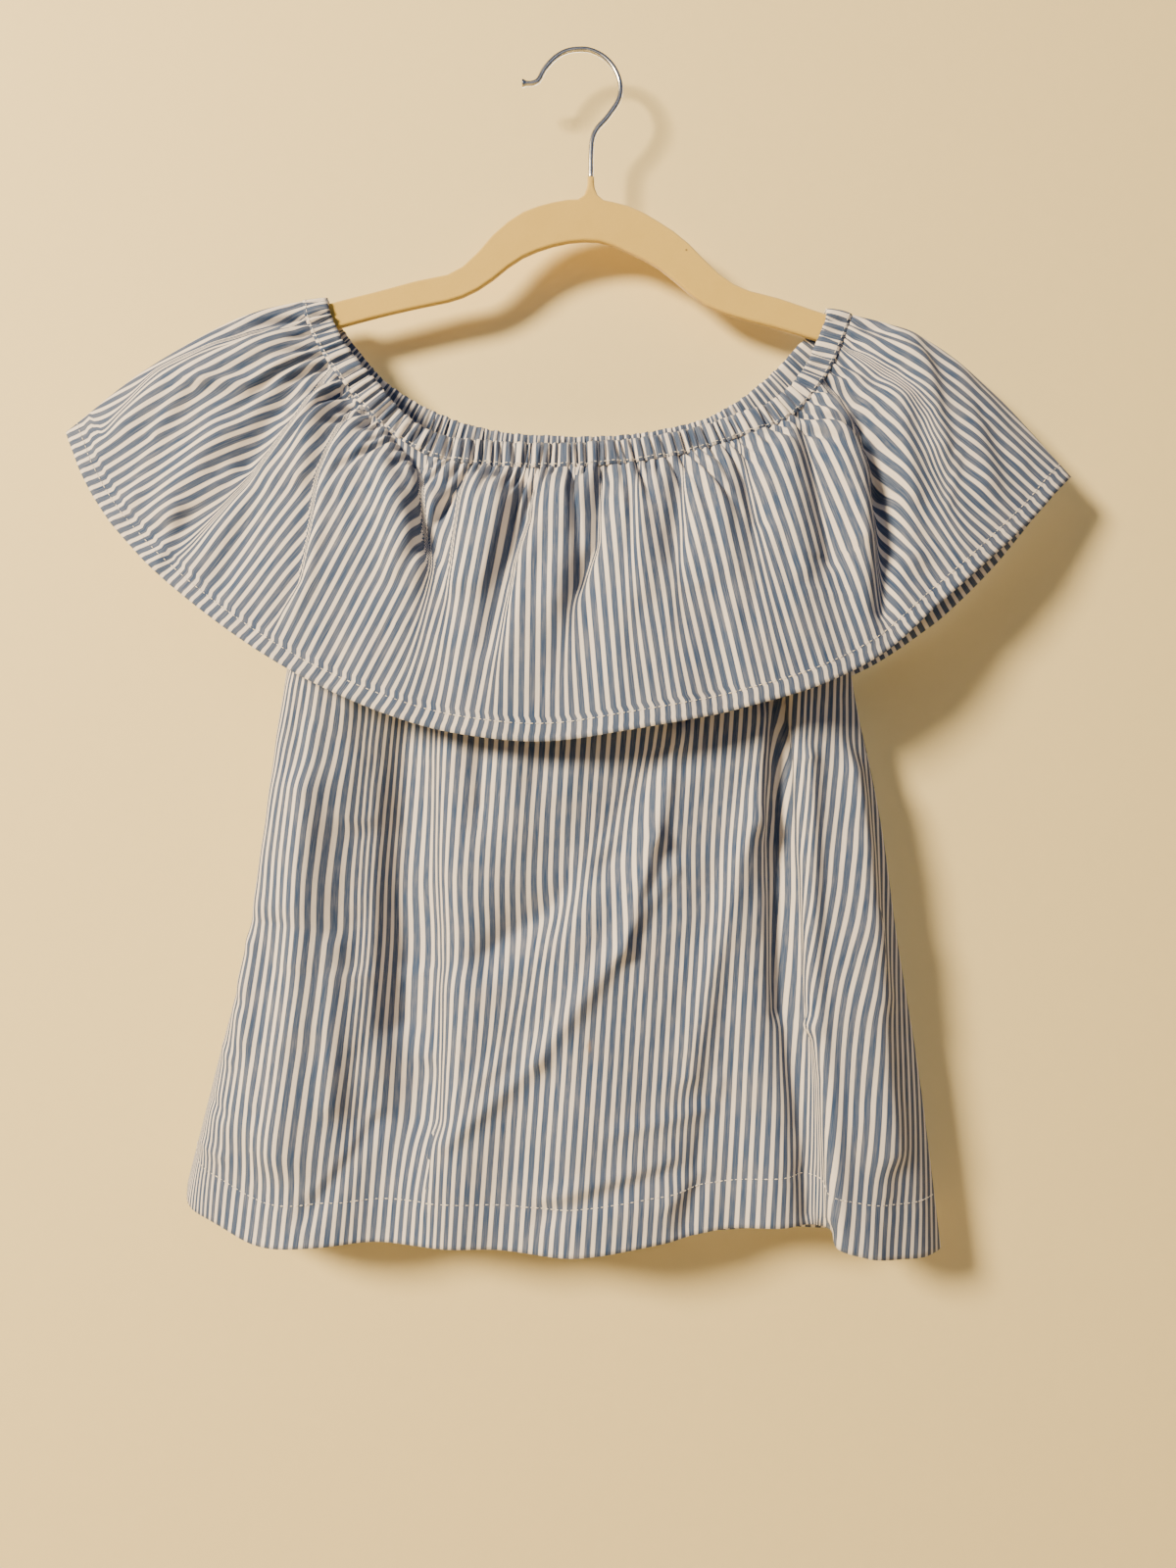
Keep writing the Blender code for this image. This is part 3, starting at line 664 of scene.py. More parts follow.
# Soft ridges and press creases. Rows with the same number are one crease.
RUFFLE_CREASES = table(
    "crease x1 z1 x2 z2 width rise",
    (1, -170, -206, -213, -228, 5, 3.2),
    (1, -213, -228, -251, -226, 5, 3.4),
    (1, -251, -226, -271, -259, 6, 2.8),
    (1, -271, -259, -284, -300, 7, 1.0),
    (2, -196, -252, -232, -293, 4.5, 1.8),
    (2, -232, -293, -262, -316, 6, 1.4),
    (12, 219, -197, 225.6, -217, 6, 2.4),
    (12, 225.6, -217, 231, -245, 6, 2.2),
    (12, 231, -245, 237, -278, 6, 1.4),
    (13, 245.4, -272, 237, -307, 3, 0.9),
    (14, 63.5, -363, 82, -361, 2.6, 0.8),
    (15, 144, -365, 173, -367, 2.6, 0.8),
    (16, 200, -235, 212, -300, 9, 2.6),
    (17, 268, -236, 290, -275, 8, 1.6),
    (18, 180, -184, 225, -205, 4, -2.5),
    (18, 225, -205, 262, -245, 6, -2.0),
    (19, -256, -308, -268, -345, 5, 1.8),
    (20, -285, -300, -306, -322, 5, 1.4),
    (21, -134, -262, -150, -300, 4, 1.4),
    (22, -196, -236, -228, -285, 15, -5.0),
    (22, -228, -285, -256, -322, 16, -4.0),
    (23, 192, -226, 206, -262, 11, -4.0),
    (23, 206, -262, 213, -330, 13, -4.5),
    (23, 213, -330, 212, -380, 13, -3.0),
    (24, -52, -300, -54, -400, 12, 2.5),
    (25, -8, -300, -14, -380, 10, 2.0),
    (26, -85, -290, -86, -345, 8, -3.0),
    (27, -240, -200, -290, -250, 12, 3.0),
)
BODY_CREASES = table(
    "crease x1 z1 x2 z2 width rise",
    (1, -19, -746, 34.6, -731, 5, 2.0),
    (1, 34.6, -731, 60, -723, 5, 1.6),
    (2, 21.5, -706, 85, -692, 5, 1.8),
    (3, 57, -751, 82.7, -731, 5, 2.0),
    (3, 82.7, -731, 91.4, -674, 5, 1.8),
    (4, -127.6, -696, -144, -718, 4, 1.4),
    (4, -144, -718, -168, -745, 4, 1.2),
    (5, 66, -452, 52, -512, 6, 1.6),
    (5, 52, -512, 33, -573, 6, 1.8),
    (5, 33, -573, 14, -601, 6, 1.8),
    (5, 14, -601, -17, -645, 6, 1.6),
    (5, -17, -645, -43, -658, 6, 1.6),
    (5, -43, -658, -62, -674, 6, 2.2),
    (5, -62, -674, -78, -690, 6, 1.4),
    (6, 62, -541, 31, -583, 5, 2.2),
    (7, 119, -436, 122, -480, 6, 2.6),
    (7, 122, -480, 112, -512, 6, 2.8),
    (7, 112, -512, 100, -544, 6, 2.6),
    (7, 100, -544, 81, -614, 6, 2.4),
    (7, 81, -614, 67, -653, 7, 1.6),
    (8, -62, -461, -62, -500, 3, -1.6),
    (24, -236, -600, -216, -628, 4, -1.8),
    (25, -228, -560, -210, -590, 4, 1.4),
    (26, -246, -640, -222, -665, 4, 1.8),
    (27, -250, -680, -226, -700, 4, -1.8),
    (28, -253, -715, -230, -728, 4, 1.6),
    (29, -214, -640, -205, -690, 5, 1.2),
    (31, 180, -700, 196, -745, 8, 1.2),
    (32, -60, -490, -52, -560, 9, 1.4),
    (33, -182, -425, -194, -560, 28, 15.0),
    (33, -194, -560, -210, -700, 28, 11.0),
    (34, -44, -426, -40, -520, 12, 2.0),
    (41, -148, -425, -143, -650, 10, -3.5),
    (35, -172, -492, -176, -600, 17, 9.0),
    (35, -176, -600, -188, -720, 17, 8.0),
    (36, 182, -480, 186, -600, 12, 7.0),
    (36, 186, -600, 200, -720, 12, 7.0),
    (42, -141, -440, -141, -520, 10, -5.0),
    (42, -141, -520, -144, -600, 14, -9.0),
    (42, -144, -600, -140, -700, 14, -6.0),
    (44, -110, -440, -108, -600, 14, -9.5),
    (44, -108, -600, -106, -700, 14, -7.0),
)
BODY_LINES = table(
    "fold x z depth width flap",
    (1, -101, -425, 18, 8.5, 4.5),
    (1, -100, -520, 18, 8.5, 4.5),
    (1, -98, -610, 16, 10, 3.0),
    (1, -96, -700, 11, 12, 1.0),
    (2, 131, -425, 6, 5, 2.0),
    (2, 131, -520, 7, 5, 2.5),
    (2, 132, -610, 6, 6, 2.0),
    (2, 138, -700, 1, 9, 0.3),
    (3, 147, -473, 1.5, 3, 1.0),
    (3, 146, -624, 2.5, 2.5, 1.5),
    (3, 154, -674, 3.0, 3, 1.5),
    (3, 158, -726, 3.5, 3, 2.0),
    (3, 160, -775, 4.0, 3, 2.0),
    (4, 66, -440, 4, 9, 0),
    (4, 23, -506, 7, 10, 1.0),
    (4, -3, -538, 8, 10, 1.5),
    (4, -22, -570, 8, 10, 1.5),
    (4, -54, -589, 7, 10, 1.0),
    (4, -90, -603, 1.5, 10, 0),
    (5, -175, -425, 3, 7, 1.0),
    (5, -190, -560, 3.5, 8, 1.0),
    (5, -205, -700, 1.5, 10, 0.4),
    (6, 2, -430, 2.0, 9, 0),
    (6, -2, -520, 1.5, 10, 0),
    (7, 182, -430, 2.5, 9, -2.0),
    (7, 192, -560, 2.0, 10, -1.5),
)

# Cloth that the body's folds take up. It makes the stripes crowd together there.
BODY_TAKES = table(
    "x1 z1 take1 x2 z2 take2 width",
    (-190, -430, 24, -250, -746, 34, 12),
    (-139, -425, 13, -143, -780, 4, 8),
    (-118, -430, 7, -112, -780, 3, 9),
    (-94, -430, 9, -92, -720, 5, 8),
    (66, -430, 4, -84, -720, 4, 9),
    (122, -430, 5, 66, -690, 5, 9),
    (132, -425, 9, 136, -780, 4, 9),
    (147, -440, 6, 154, -780, 24, 5),
)
BODY_REFERENCE = ((5.0, -430.0), (-20.0, -780.0))

# Cloth of a body panel that shows, and its cut in all
BODY_WIDTH = 0.5
BODY_DEPTH = 0.51

# Stitch lines over the hems, with the half width and depth of their grooves, the size of the puckers
# and a seed
HEM_LINE = 9.0 * MM
BODY_HEM_LINE = 24.5 * MM
RUFFLE_GROOVE = (0.0016, 0.35, 0.004, 23)
BODY_GROOVE = (0.0024, 0.4, 0.005, 33)

# Smallest and largest stitch, as a share of the usual one
STITCH_RANGE = (0.82, 1.12)

# Place and size of the tan stain on the front panel and of the dark speck on the hanger
STAIN = ((0.0078, -0.036, -0.651), (0.0022, 0.02, 0.0055))
SPECK = ((0.0722, -0.003, -0.1326), (0.0011, 0.006, 0.0011))

# Stage
STAGE_HALF = 2.5
STAGE_DEPTH = 3.0
FLOOR = -2.2
WALL_AT = 0.031
WALL_TOP = 1.6
MIDDLE = (0.0, 0.0, -0.42)
CAMERA_AT = (0.00715, -0.785, -0.48555)

HALVES = ((FRONT, "front"), (BACK, "back"))
SHAPES = {}


def linear(red, green, blue):
    """A colour given as screen values from 0 to 255, made ready for a shader."""
    share = [v / 255 for v in (red, green, blue)]
    return tuple(v / 12.92 if v <= 0.04045 else ((v + 0.055) / 1.055) ** 2.4 for v in share)


class TopCloth(bpy.types.PropertyGroup):
    """Sizes and colours of the striped cotton."""

    pitch: bpy.props.FloatProperty(
        name="Stripe pitch", description="From one blue stripe to the next",
        default=0.0066, min=0.001, unit="LENGTH",
    )
    blue_share: bpy.props.FloatProperty(
        name="Blue share", description="How much of the pitch is blue",
        default=0.59, min=0.05, max=0.95, subtype="FACTOR",
    )
    blue: bpy.props.FloatVectorProperty(
        name="Blue", description="Colour of the blue stripes",
        default=linear(46, 70, 105), size=3, min=0, max=1, subtype="COLOR",
    )
    white: bpy.props.FloatVectorProperty(
        name="White", description="Colour of the white stripes",
        default=linear(228, 219, 209), size=3, min=0, max=1, subtype="COLOR",
    )
    yarn: bpy.props.FloatProperty(
        name="Yarn spacing", description="From one yarn to the next in the weave",
        default=0.00042, min=0.0001, unit="LENGTH",
    )
    crumple: bpy.props.FloatProperty(
        name="Crumple", description="Height of the soft unevenness of worn cotton",
        default=0.0009, min=0, unit="LENGTH",
    )


class TopSewing(bpy.types.PropertyGroup):
    """Sizes and colour of the stitches."""

    stitch: bpy.props.FloatProperty(
        name="Stitch spacing", description="From the start of one stitch to the next",
        default=0.0032, min=0.001, unit="LENGTH",
    )
    share: bpy.props.FloatProperty(
        name="Stitch share", description="How much of the spacing is thread",
        default=0.74, min=0.1, max=0.95, subtype="FACTOR",
    )
    thread: bpy.props.FloatProperty(
        name="Thread", description="Thickness of the thread",
        default=0.00055, min=0.0001, unit="LENGTH",
    )
    colour: bpy.props.FloatVectorProperty(
        name="Thread colour", description="Colour of the thread",
        default=linear(238, 231, 218), size=3, min=0, max=1, subtype="COLOR",
    )


class TopHanger(bpy.types.PropertyGroup):
    """Finish of the hanger."""

    flock: bpy.props.FloatVectorProperty(
        name="Flock", description="Colour of the flocked body",
        default=linear(208, 175, 84), size=3, min=0, max=1, subtype="COLOR",
    )
    wire: bpy.props.FloatVectorProperty(
        name="Wire", description="Colour of the plated wire",
        default=linear(205, 203, 198), size=3, min=0, max=1, subtype="COLOR",
    )


class TopStage(bpy.types.PropertyGroup):
    """Wall, floor, light and camera."""

    wall: bpy.props.FloatVectorProperty(
        name="Wall colour", description="Colour of the pale wall and floor",
        default=linear(228, 208, 150), size=3, min=0, max=1, subtype="COLOR",
    )
    key: bpy.props.FloatProperty(
        name="Key light", description="Power of the soft light from the upper left",
        default=330.0, min=0, unit="POWER",
    )
    lens: bpy.props.FloatProperty(
        name="Lens", description="Focal length of the camera",
        default=27.17, min=5, unit="CAMERA",
    )


# Materials

def set_inputs(tree, node, links):
    """Sets or links a node's inputs. A link is an input and its value or output socket."""
    for key, value in links:
        if isinstance(value, bpy.types.NodeSocket):
            tree.links.new(value, node.inputs[key])
        else:
            node.inputs[key].default_value = value


def add_node(tree, kind, links=(), **values):
    """A node with its inputs set or linked. The values are its attributes."""
    made = tree.nodes.new(kind)
    for name, value in values.items():
        setattr(made, name, value)
    set_inputs(tree, made, links)
    return made


def math_node(tree, operation, *values):
    """The result of one sum on numbers or sockets."""
    return add_node(tree, "ShaderNodeMath", list(enumerate(values)), operation=operation).outputs[0]


def mix_colour(tree, factor, first, second, blend="MIX"):
    """Two colours mixed by a factor."""
    links = [(0, factor), (6, first), (7, second)]
    return add_node(tree, "ShaderNodeMix", links, data_type="RGBA", blend_type=blend).outputs[2]


def ramp(tree, value, low, high, to_low=0.0, to_high=1.0):
    """A value carried smoothly from one range to another."""
    limits = [("From Min", low), ("From Max", high), ("To Min", to_low), ("To Max", to_high)]
    eased = add_node(tree, "ShaderNodeMapRange", [("Value", value)], interpolation_type="SMOOTHSTEP")
    set_inputs(tree, eased, limits)
    return eased.outputs["Result"]


def noise(tree, place, scale, detail=2.0, rough=0.5):
    """Smooth random values from 0 to 1 at a place."""
    links = [("Vector", place), ("Scale", scale), ("Detail", detail), ("Roughness", rough)]
    return add_node(tree, "ShaderNodeTexNoise", links, noise_dimensions="3D").outputs["Fac"]


def stretched(tree, place, *scale):
    """A place scaled along each axis."""
    return add_node(tree, "ShaderNodeMapping", [("Vector", place), ("Scale", scale)]).outputs[0]


def place_on(tree):
    """The place on the piece itself, in metres."""
    return add_node(tree, "ShaderNodeTexCoord").outputs["Object"]


def bump(tree, height, strength, distance, *under):
    """Normals of a fine relief, over those of another."""
    links = [("Height", height), ("Strength", strength), ("Distance", distance)]
    links += [("Normal", normal) for normal in under]
    return add_node(tree, "ShaderNodeBump", links).outputs["Normal"]


def tinted(colour, *shares):
    """A colour times one share, or one for each channel, ready for a socket."""
    return tuple(c * share for c, share in zip(colour, shares * (3 // len(shares)))) + (1,)


def spot(tree, place, size):
    """1 at a place on the piece, falling to 0 at its size, with an uneven edge."""
    links = [("Vector", place_on(tree)), ("Location", place), ("Scale", size)]
    local = add_node(tree, "ShaderNodeMapping", links, vector_type="TEXTURE").outputs["Vector"]
    away = add_node(tree, "ShaderNodeVectorMath", [(0, local)], operation="LENGTH").outputs["Value"]
    ragged = math_node(tree, "ADD", away, math_node(tree, "MULTIPLY", noise(tree, local, 2.2), 0.9))
    return ramp(tree, ragged, 0.55, 1.5, 1.0, 0.0)


def new_material(name):
    """A material, its node tree and its main shader."""
    material = bpy.data.materials.new(name)
    material.use_nodes = True
    tree = material.node_tree
    return material, tree, tree.nodes["Principled BSDF"]


def striped_cotton(name, cloth, stained=False):
    """Yarn-dyed cotton: blue and white stripes along the length of the cloth, in a plain weave."""
    material, tree, shader = new_material(name)
    place = add_node(tree, "ShaderNodeUVMap", uv_map="cloth").outputs["UV"]
    metres = add_node(tree, "ShaderNodeSeparateXYZ", [("Vector", place)])
    across, down = metres.outputs["X"], metres.outputs["Y"]
    wobble = math_node(tree, "SUBTRACT", noise(tree, stretched(tree, place, 260.0, 26.0, 1.0), 1.0), 0.5)
    wobbled = math_node(tree, "ADD", across, math_node(tree, "MULTIPLY", wobble, 0.00025))
    wave = math_node(tree, "PINGPONG", wobbled, cloth.pitch / 2)
    middle = cloth.pitch / 2 * cloth.blue_share
    soft = cloth.pitch * 0.035
    white_part = ramp(tree, wave, middle - soft, middle + soft)

    yarns = math_node(tree, "MULTIPLY", across, 2 * math.pi / cloth.yarn)
    picks = math_node(tree, "MULTIPLY", down, 2 * math.pi / (cloth.yarn * 1.12))
    over = math_node(tree, "MULTIPLY", math_node(tree, "SINE", yarns), math_node(tree, "SINE", picks))
    slub = noise(tree, stretched(tree, place, 1700.0, 60.0, 1.0), 1.0, 3.0)
    faded = noise(tree, place, 42.0, 4.0, 0.6)

    pale_blue = tuple(c * 0.72 + 0.28 * w for c, w in zip(cloth.blue, cloth.white)) + (1,)
    threads = mix_colour(tree, ramp(tree, slub, 0.28, 0.72), tinted(cloth.blue, 0.84), pale_blue)
    blues = mix_colour(tree, ramp(tree, faded, 0.25, 0.8, 0.25, 0.75), (*cloth.blue, 1), threads)
    cream = tinted(cloth.white, 0.93, 0.92, 0.89)
    whites = mix_colour(tree, ramp(tree, slub, 0.2, 0.8), cream, (*cloth.white, 1))
    colour = mix_colour(tree, white_part, blues, whites)
    # Painted shade: the colour is darkened a little in the hollows where the yarns dip under one another in
    # the weave.
    weave_painted_shade = ramp(tree, over, -1.0, 1.0, 0.0, 0.10)
    colour = mix_colour(tree, weave_painted_shade, colour, (0.45, 0.45, 0.45, 1), "MULTIPLY")
    if stained:
        mark = math_node(tree, "MULTIPLY", spot(tree, *STAIN), 0.5)
        colour = mix_colour(tree, mark, colour, (0.32, 0.20, 0.10, 1))

    crinkle = noise(tree, stretched(tree, place, 1.0, 0.55, 1.0), 150.0, 4.0, 0.55)
    soft_bump = bump(tree, crinkle, 0.35, 0.0014)
    set_inputs(tree, shader, [
        ("Base Color", colour), ("Roughness", ramp(tree, faded, 0.2, 0.8, 0.80, 0.92)),
        ("Specular IOR Level", 0.25), ("Sheen Weight", 0.12), ("Sheen Roughness", 0.5),
        ("Normal", bump(tree, over, 0.30, 0.00008, soft_bump)),
    ])
    return material


def thread_material(sewing):
    """Twisted cotton thread."""
    material, tree, shader = new_material("white_thread")
    twist = noise(tree, place_on(tree), 900.0, 2.0)
    shade = mix_colour(tree, ramp(tree, twist, 0.3, 0.7), tinted(sewing.colour, 0.82), (*sewing.colour, 1))
    set_inputs(tree, shader, [("Base Color", shade), ("Roughness", 0.7)])
    return material


def flock_material(hanger):
    """Short cream flock, rubbed a little, with one dark speck on the front."""
    material, tree, shader = new_material("cream_flock")
    here = place_on(tree)
    fibre = noise(tree, here, 2600.0, 3.0, 0.7)
    patch = noise(tree, here, 60.0, 3.0, 0.6)
    deep = tinted(hanger.flock, 0.80, 0.78, 0.72)
    shade = mix_colour(tree, ramp(tree, fibre, 0.3, 0.7), deep, (*hanger.flock, 1))
    shade = mix_colour(tree, ramp(tree, patch, 0.35, 0.75, 0.0, 0.28), shade, deep)
    speck = math_node(tree, "MULTIPLY", spot(tree, *SPECK), 0.85)
    shade = mix_colour(tree, speck, shade, (0.03, 0.025, 0.02, 1))
    set_inputs(tree, shader, [
        ("Base Color", shade), ("Roughness", ramp(tree, patch, 0.2, 0.8, 0.90, 1.0)),
        ("Specular IOR Level", 0.15), ("Sheen Weight", 0.35), ("Sheen Roughness", 0.6),
        ("Normal", bump(tree, fibre, 0.55, 0.0003)),
    ])
    return material


def wire_material(hanger):
    """Plated wire, drawn along its length and a little dulled."""
    material, tree, shader = new_material("plated_wire")
    place = add_node(tree, "ShaderNodeUVMap", uv_map="along_wire").outputs["UV"]
    drawn = noise(tree, stretched(tree, place, 40.0, 6.0, 1.0), 3.0, 4.0, 0.6)
    dull = noise(tree, place_on(tree), 300.0, 3.0, 0.6)
    shade = mix_colour(tree, ramp(tree, dull, 0.3, 0.75), (*hanger.wire, 1), tinted(hanger.wire, 0.7))
    set_inputs(tree, shader, [
        ("Base Color", shade), ("Metallic", 1.0), ("Roughness", ramp(tree, drawn, 0.2, 0.8, 0.16, 0.34)),
        ("Normal", bump(tree, drawn, 0.12, 0.0001)),
    ])
    return material


# Cloth shapes

def soft_noise(across, down, size_across, size_down, seed):
    """Smooth random heights from about -1 to 1 over places on the cloth."""
    x, y = across / size_across, down / size_down
    x0, y0 = np.floor(x).astype(int), np.floor(y).astype(int)
    heights = np.random.default_rng(seed).uniform(-1, 1, (x0.max() - x0.min() + 2, y0.max() - y0.min() + 2))
    i, j = x0 - x0.min(), y0 - y0.min()
    fx, fy = x - x0, y - y0
    fx, fy = fx * fx * (3 - 2 * fx), fy * fy * (3 - 2 * fy)
    low = heights[i, j] * (1 - fx) + heights[i + 1, j] * fx
    high = heights[i, j + 1] * (1 - fx) + heights[i + 1, j + 1] * fx
    return low * (1 - fy) + high * fy


def crease_rise(grid, creases):
    """Heights of the creases. The rows of one crease join without adding up."""
    total = np.zeros(grid.shape[:2])
    for number in np.unique(creases["crease"]):
        best = np.zeros_like(total)
        for crease, *segment, width, height in zip(*creases.values()):
            if crease == number:
                rise = height * np.exp(-((from_segment(grid, *segment) / width) ** 2))
                best = np.where(abs(rise) > abs(best), rise, best)
        total += best
    return total * MM


def fold_line(grid, lines, number):
    """Signed distance from one fold's line, and its depth, width and flap, at each point of a grid."""
    rows = np.flatnonzero(lines["fold"] == number)
    x, z = grid[..., 0] / MM, grid[..., 2] / MM
    near = np.full(x.shape, 1e9)
    found = {name: np.zeros_like(x) for name in ("side", "depth", "width", "flap")}
    for a, b in zip(rows[:-1], rows[1:]):
        dx, dz = lines["x"][b] - lines["x"][a], lines["z"][b] - lines["z"][a]
        part = ((x - lines["x"][a]) * dx + (z - lines["z"][a]) * dz) / (dx * dx + dz * dz)
        part = np.clip(part, 0, 1)
        off_x, off_z = x - lines["x"][a] - part * dx, z - lines["z"][a] - part * dz
        away = np.hypot(off_x, off_z)
        closer = away < near
        near = np.where(closer, away, near)
        found["side"] = np.where(closer, np.sign(dx * off_z - dz * off_x), found["side"])
        for name in ("depth", "width", "flap"):
            value = lines[name][a] + part * (lines[name][b] - lines[name][a])
            found[name] = np.where(closer, value, found[name])
    return near * found["side"], found["depth"], found["width"], found["flap"]


def fold_depth(away, depth, width, flap):
    """Height across a fold: a steep drop from the flap and a slow rise on the other side, in metres."""
    over = np.where(flap < 0, -1.0, 1.0)
    steep = away * over > 0
    trough = -depth * np.exp(-((away / (width * np.where(steep, 1.0, OPEN_SIDE))) ** 2))
    crest = abs(flap) * np.exp(-(((away * over - 2.3 * width) / (1.8 * width)) ** 2))
    return (trough + crest) * MM


def fold_places(run, away):
    """Where a fold crosses each row, as a length along the row."""
    rows = np.arange(len(run))
    near = np.clip(np.argmin(abs(away), axis=1), 1, run.shape[1] - 2)
    slope = (away[rows, near + 1] - away[rows, near - 1]) / (run[rows, near + 1] - run[rows, near - 1])
    slope = np.where(abs(slope) < 0.3, np.inf, slope)
    return blur_rows(run[rows, near] - away[rows, near] / slope, 2)


def stripe_places(grid, run, x, z, lean):
    """Where one stripe crosses each row, as a length along the row. It may lie past either end."""
    angle = math.radians(lean)
    away = (grid[..., 0] - x * MM) * math.cos(angle) + (grid[..., 2] - z * MM) * math.sin(angle)
    part = run.shape[1] // 10
    found = []
    for length, off in zip(run, away):
        if off[0] > 0:
            found.append(length[0] - off[0] * (length[part] - length[0]) / (off[part] - off[0]))
        elif off[-1] < 0:
            found.append(length[-1] - off[-1] * (length[-part] - length[-1]) / (off[-part] - off[-1]))
        else:
            found.append(np.interp(0, np.maximum.accumulate(off), length))
    return blur_rows(np.array(found), 2)


def lengths_along(grid):
    """Length of cloth from the left end of each row to each of its points."""
    steps = np.cumsum(across_steps(grid), axis=1)
    return np.concatenate([np.zeros((len(grid), 1)), steps], axis=1)


def across_steps(grid):
    """Length of cloth between each column and the next, on the surface."""
    return np.linalg.norm(np.diff(grid, axis=1), axis=-1)


def gather_places(count, seed):
    """Places of the valleys between gathers along the neck, a little uneven, with a depth and a length."""
    chance = np.random.default_rng(seed)
    places = (np.arange(count) + 0.5 + chance.uniform(-GATHER_SHIFT, GATHER_SHIFT, count)) / count
    depth = chance.uniform(*GATHER_DEPTHS, count)
    length = chance.uniform(*GATHER_LENGTHS, count)
    long_ones = chance.permutation(count)[: count // 4]
    length[long_ones] = chance.uniform(*LONG_GATHERS, len(long_ones))
    depth[long_ones] *= LONG_GATHER_DEPTH
    return places, depth, length, chance.uniform(-GATHER_LEAN, GATHER_LEAN, count)


def gathers(along, down, seed):
    """0 on the cloth, and up to 1 in the valleys between gathers, fading down the flounce."""
    valleys = np.zeros((len(down), len(along)))
    for place, depth, length, lean in zip(*gather_places(CASING_GATHERS, seed)):
        width = (GATHER_WIDTH + GATHER_SPREAD * down)[:, None]
        fade = (1 - ease(down, length * 0.25, length))[:, None]
        away = along[None, :] - place - (lean * down)[:, None]
        valleys += depth * fade * np.exp(-((away / width) ** 2))
    return valleys


def put(name, data):
    """A new object in the scene."""
    made = bpy.data.objects.new(name, data)
    bpy.context.scene.collection.objects.link(made)
    return made


def turn_out(mesh, merge=0.0):
    """Turns the faces outwards, after points closer together than merge are made one."""
    work = bmesh.new()
    work.from_mesh(mesh)
    if merge:
        bmesh.ops.remove_doubles(work, verts=work.verts, dist=merge)
    bmesh.ops.recalc_face_normals(work, faces=work.faces)
    work.to_mesh(mesh)
    work.free()
    mesh.shade_smooth()


def tube(name, uv_name, points, at, shares):
    """A closed tube through rings of points. Its UV map is each ring's place and the share round it."""
    rings, around = points.shape[:2]
    faces, flat = [], []
    for s in range(rings - 1):
        a = s * around
        for i in range(around):
            j = (i + 1) % around
            faces.append((a + j, a + i, a + around + i, a + around + j))
            low, high = shares[i], shares[i + 1]
            flat += [(at[s], high), (at[s], low), (at[s + 1], low), (at[s + 1], high)]
    faces += [tuple(range(around)), tuple((rings - 1) * around + i for i in reversed(range(around)))]
    flat += [(at[0], share) for share in shares[:-1]] + [(at[-1], share) for share in reversed(shares[:-1])]
    mesh = bpy.data.meshes.new(name)
    mesh.from_pydata(points.reshape(-1, 3).tolist(), [], faces)
    mesh.uv_layers.new(name=uv_name).data.foreach_set("uv", np.array(flat, np.float32).ravel())
    turn_out(mesh)
    return put(name, mesh)


def sheet_mesh(name, grid, places, side, hem_rows):
    """An open sheet of quads with the cloth's own places as its UV map, ready for a wall."""
    rows, columns = grid.shape[:2]
    a = (np.arange(rows - 1)[:, None] * columns + np.arange(columns - 1)[None, :]).ravel()
    quads = np.stack([a, a + 1, a + columns + 1, a + columns], -1)
    if side == FRONT:
        quads = quads[:, ::-1]
    mesh = bpy.data.meshes.new(name)
    mesh.from_pydata(grid.reshape(-1, 3).tolist(), [], quads.tolist())
    flat = places.reshape(-1, 2)[quads.ravel()]
    mesh.uv_layers.new(name="cloth").data.foreach_set("uv", flat.ravel().astype(np.float32))
    mesh.shade_smooth()
    piece = put(name, mesh)
    wall = piece.vertex_groups.new(name="wall")
    hem = (rows - hem_rows) * columns
    wall.add(list(range(hem)), SHELL / HEM_SHELL, "REPLACE")
    wall.add(list(range(hem, rows * columns)), 1.0, "REPLACE")
    shell = piece.modifiers.new("Wall", "SOLIDIFY")
    shell.thickness = HEM_SHELL
    shell.vertex_group = wall.name
    shell.offset = -1.0
    return piece


def wear(piece, material, slot, *nodes):
    """Gives a piece its finish and its body, and hides the imported parts that it stands for."""
    piece.data.materials.clear()
    piece.data.materials.append(material)
    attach(piece, BODY)
    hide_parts(*nodes)
    return piece


def panel_base(side, along, down, neck_along, tuck, hem_rows, side_rows, rounded, *gap):
    """Outer face of a panel before its folds, from under the casing to its hem."""
    inner, outer = neck_edges(side, neck_along)
    top = outer - unit(outer - inner) * SEAM_TUCK
    top[:, 1] -= side * tuck
    hem = edge(hem_rows, "along", along, "x", "z", "depth", side)
    left = edge(side_rows, "down", down, "x_left", "z_left", *gap)
    right = edge(side_rows, "down", down, "x_right", "z_right", *gap)
    left, right = meet(left, top[0], down), meet(right, top[-1], down)
    base = coons(top, hem, left, right, down, along)
    return round_edges(base, side, ease(down, *rounded))


def crumple(lift, s, t, height, layers, fade):
    """Adds the unevenness of worn cotton to a lift, in layers from wide to narrow."""
    for share, across, down, seed, fades in layers:
        lift += height * share * soft_noise(s, t, across, down, seed) * (fade if fades else 1.0)


def hem_groove(s, t, down, depth, line_at, width, deep, pucker, seed):
    """The groove that the stitches pull into the cloth over its hem, with small puckers."""
    line = np.exp(-(((1 - down) * depth - line_at) / width) ** 2)[:, None]
    return line * (deep + deep * soft_noise(s, t, pucker, 0.05, seed)) * MM


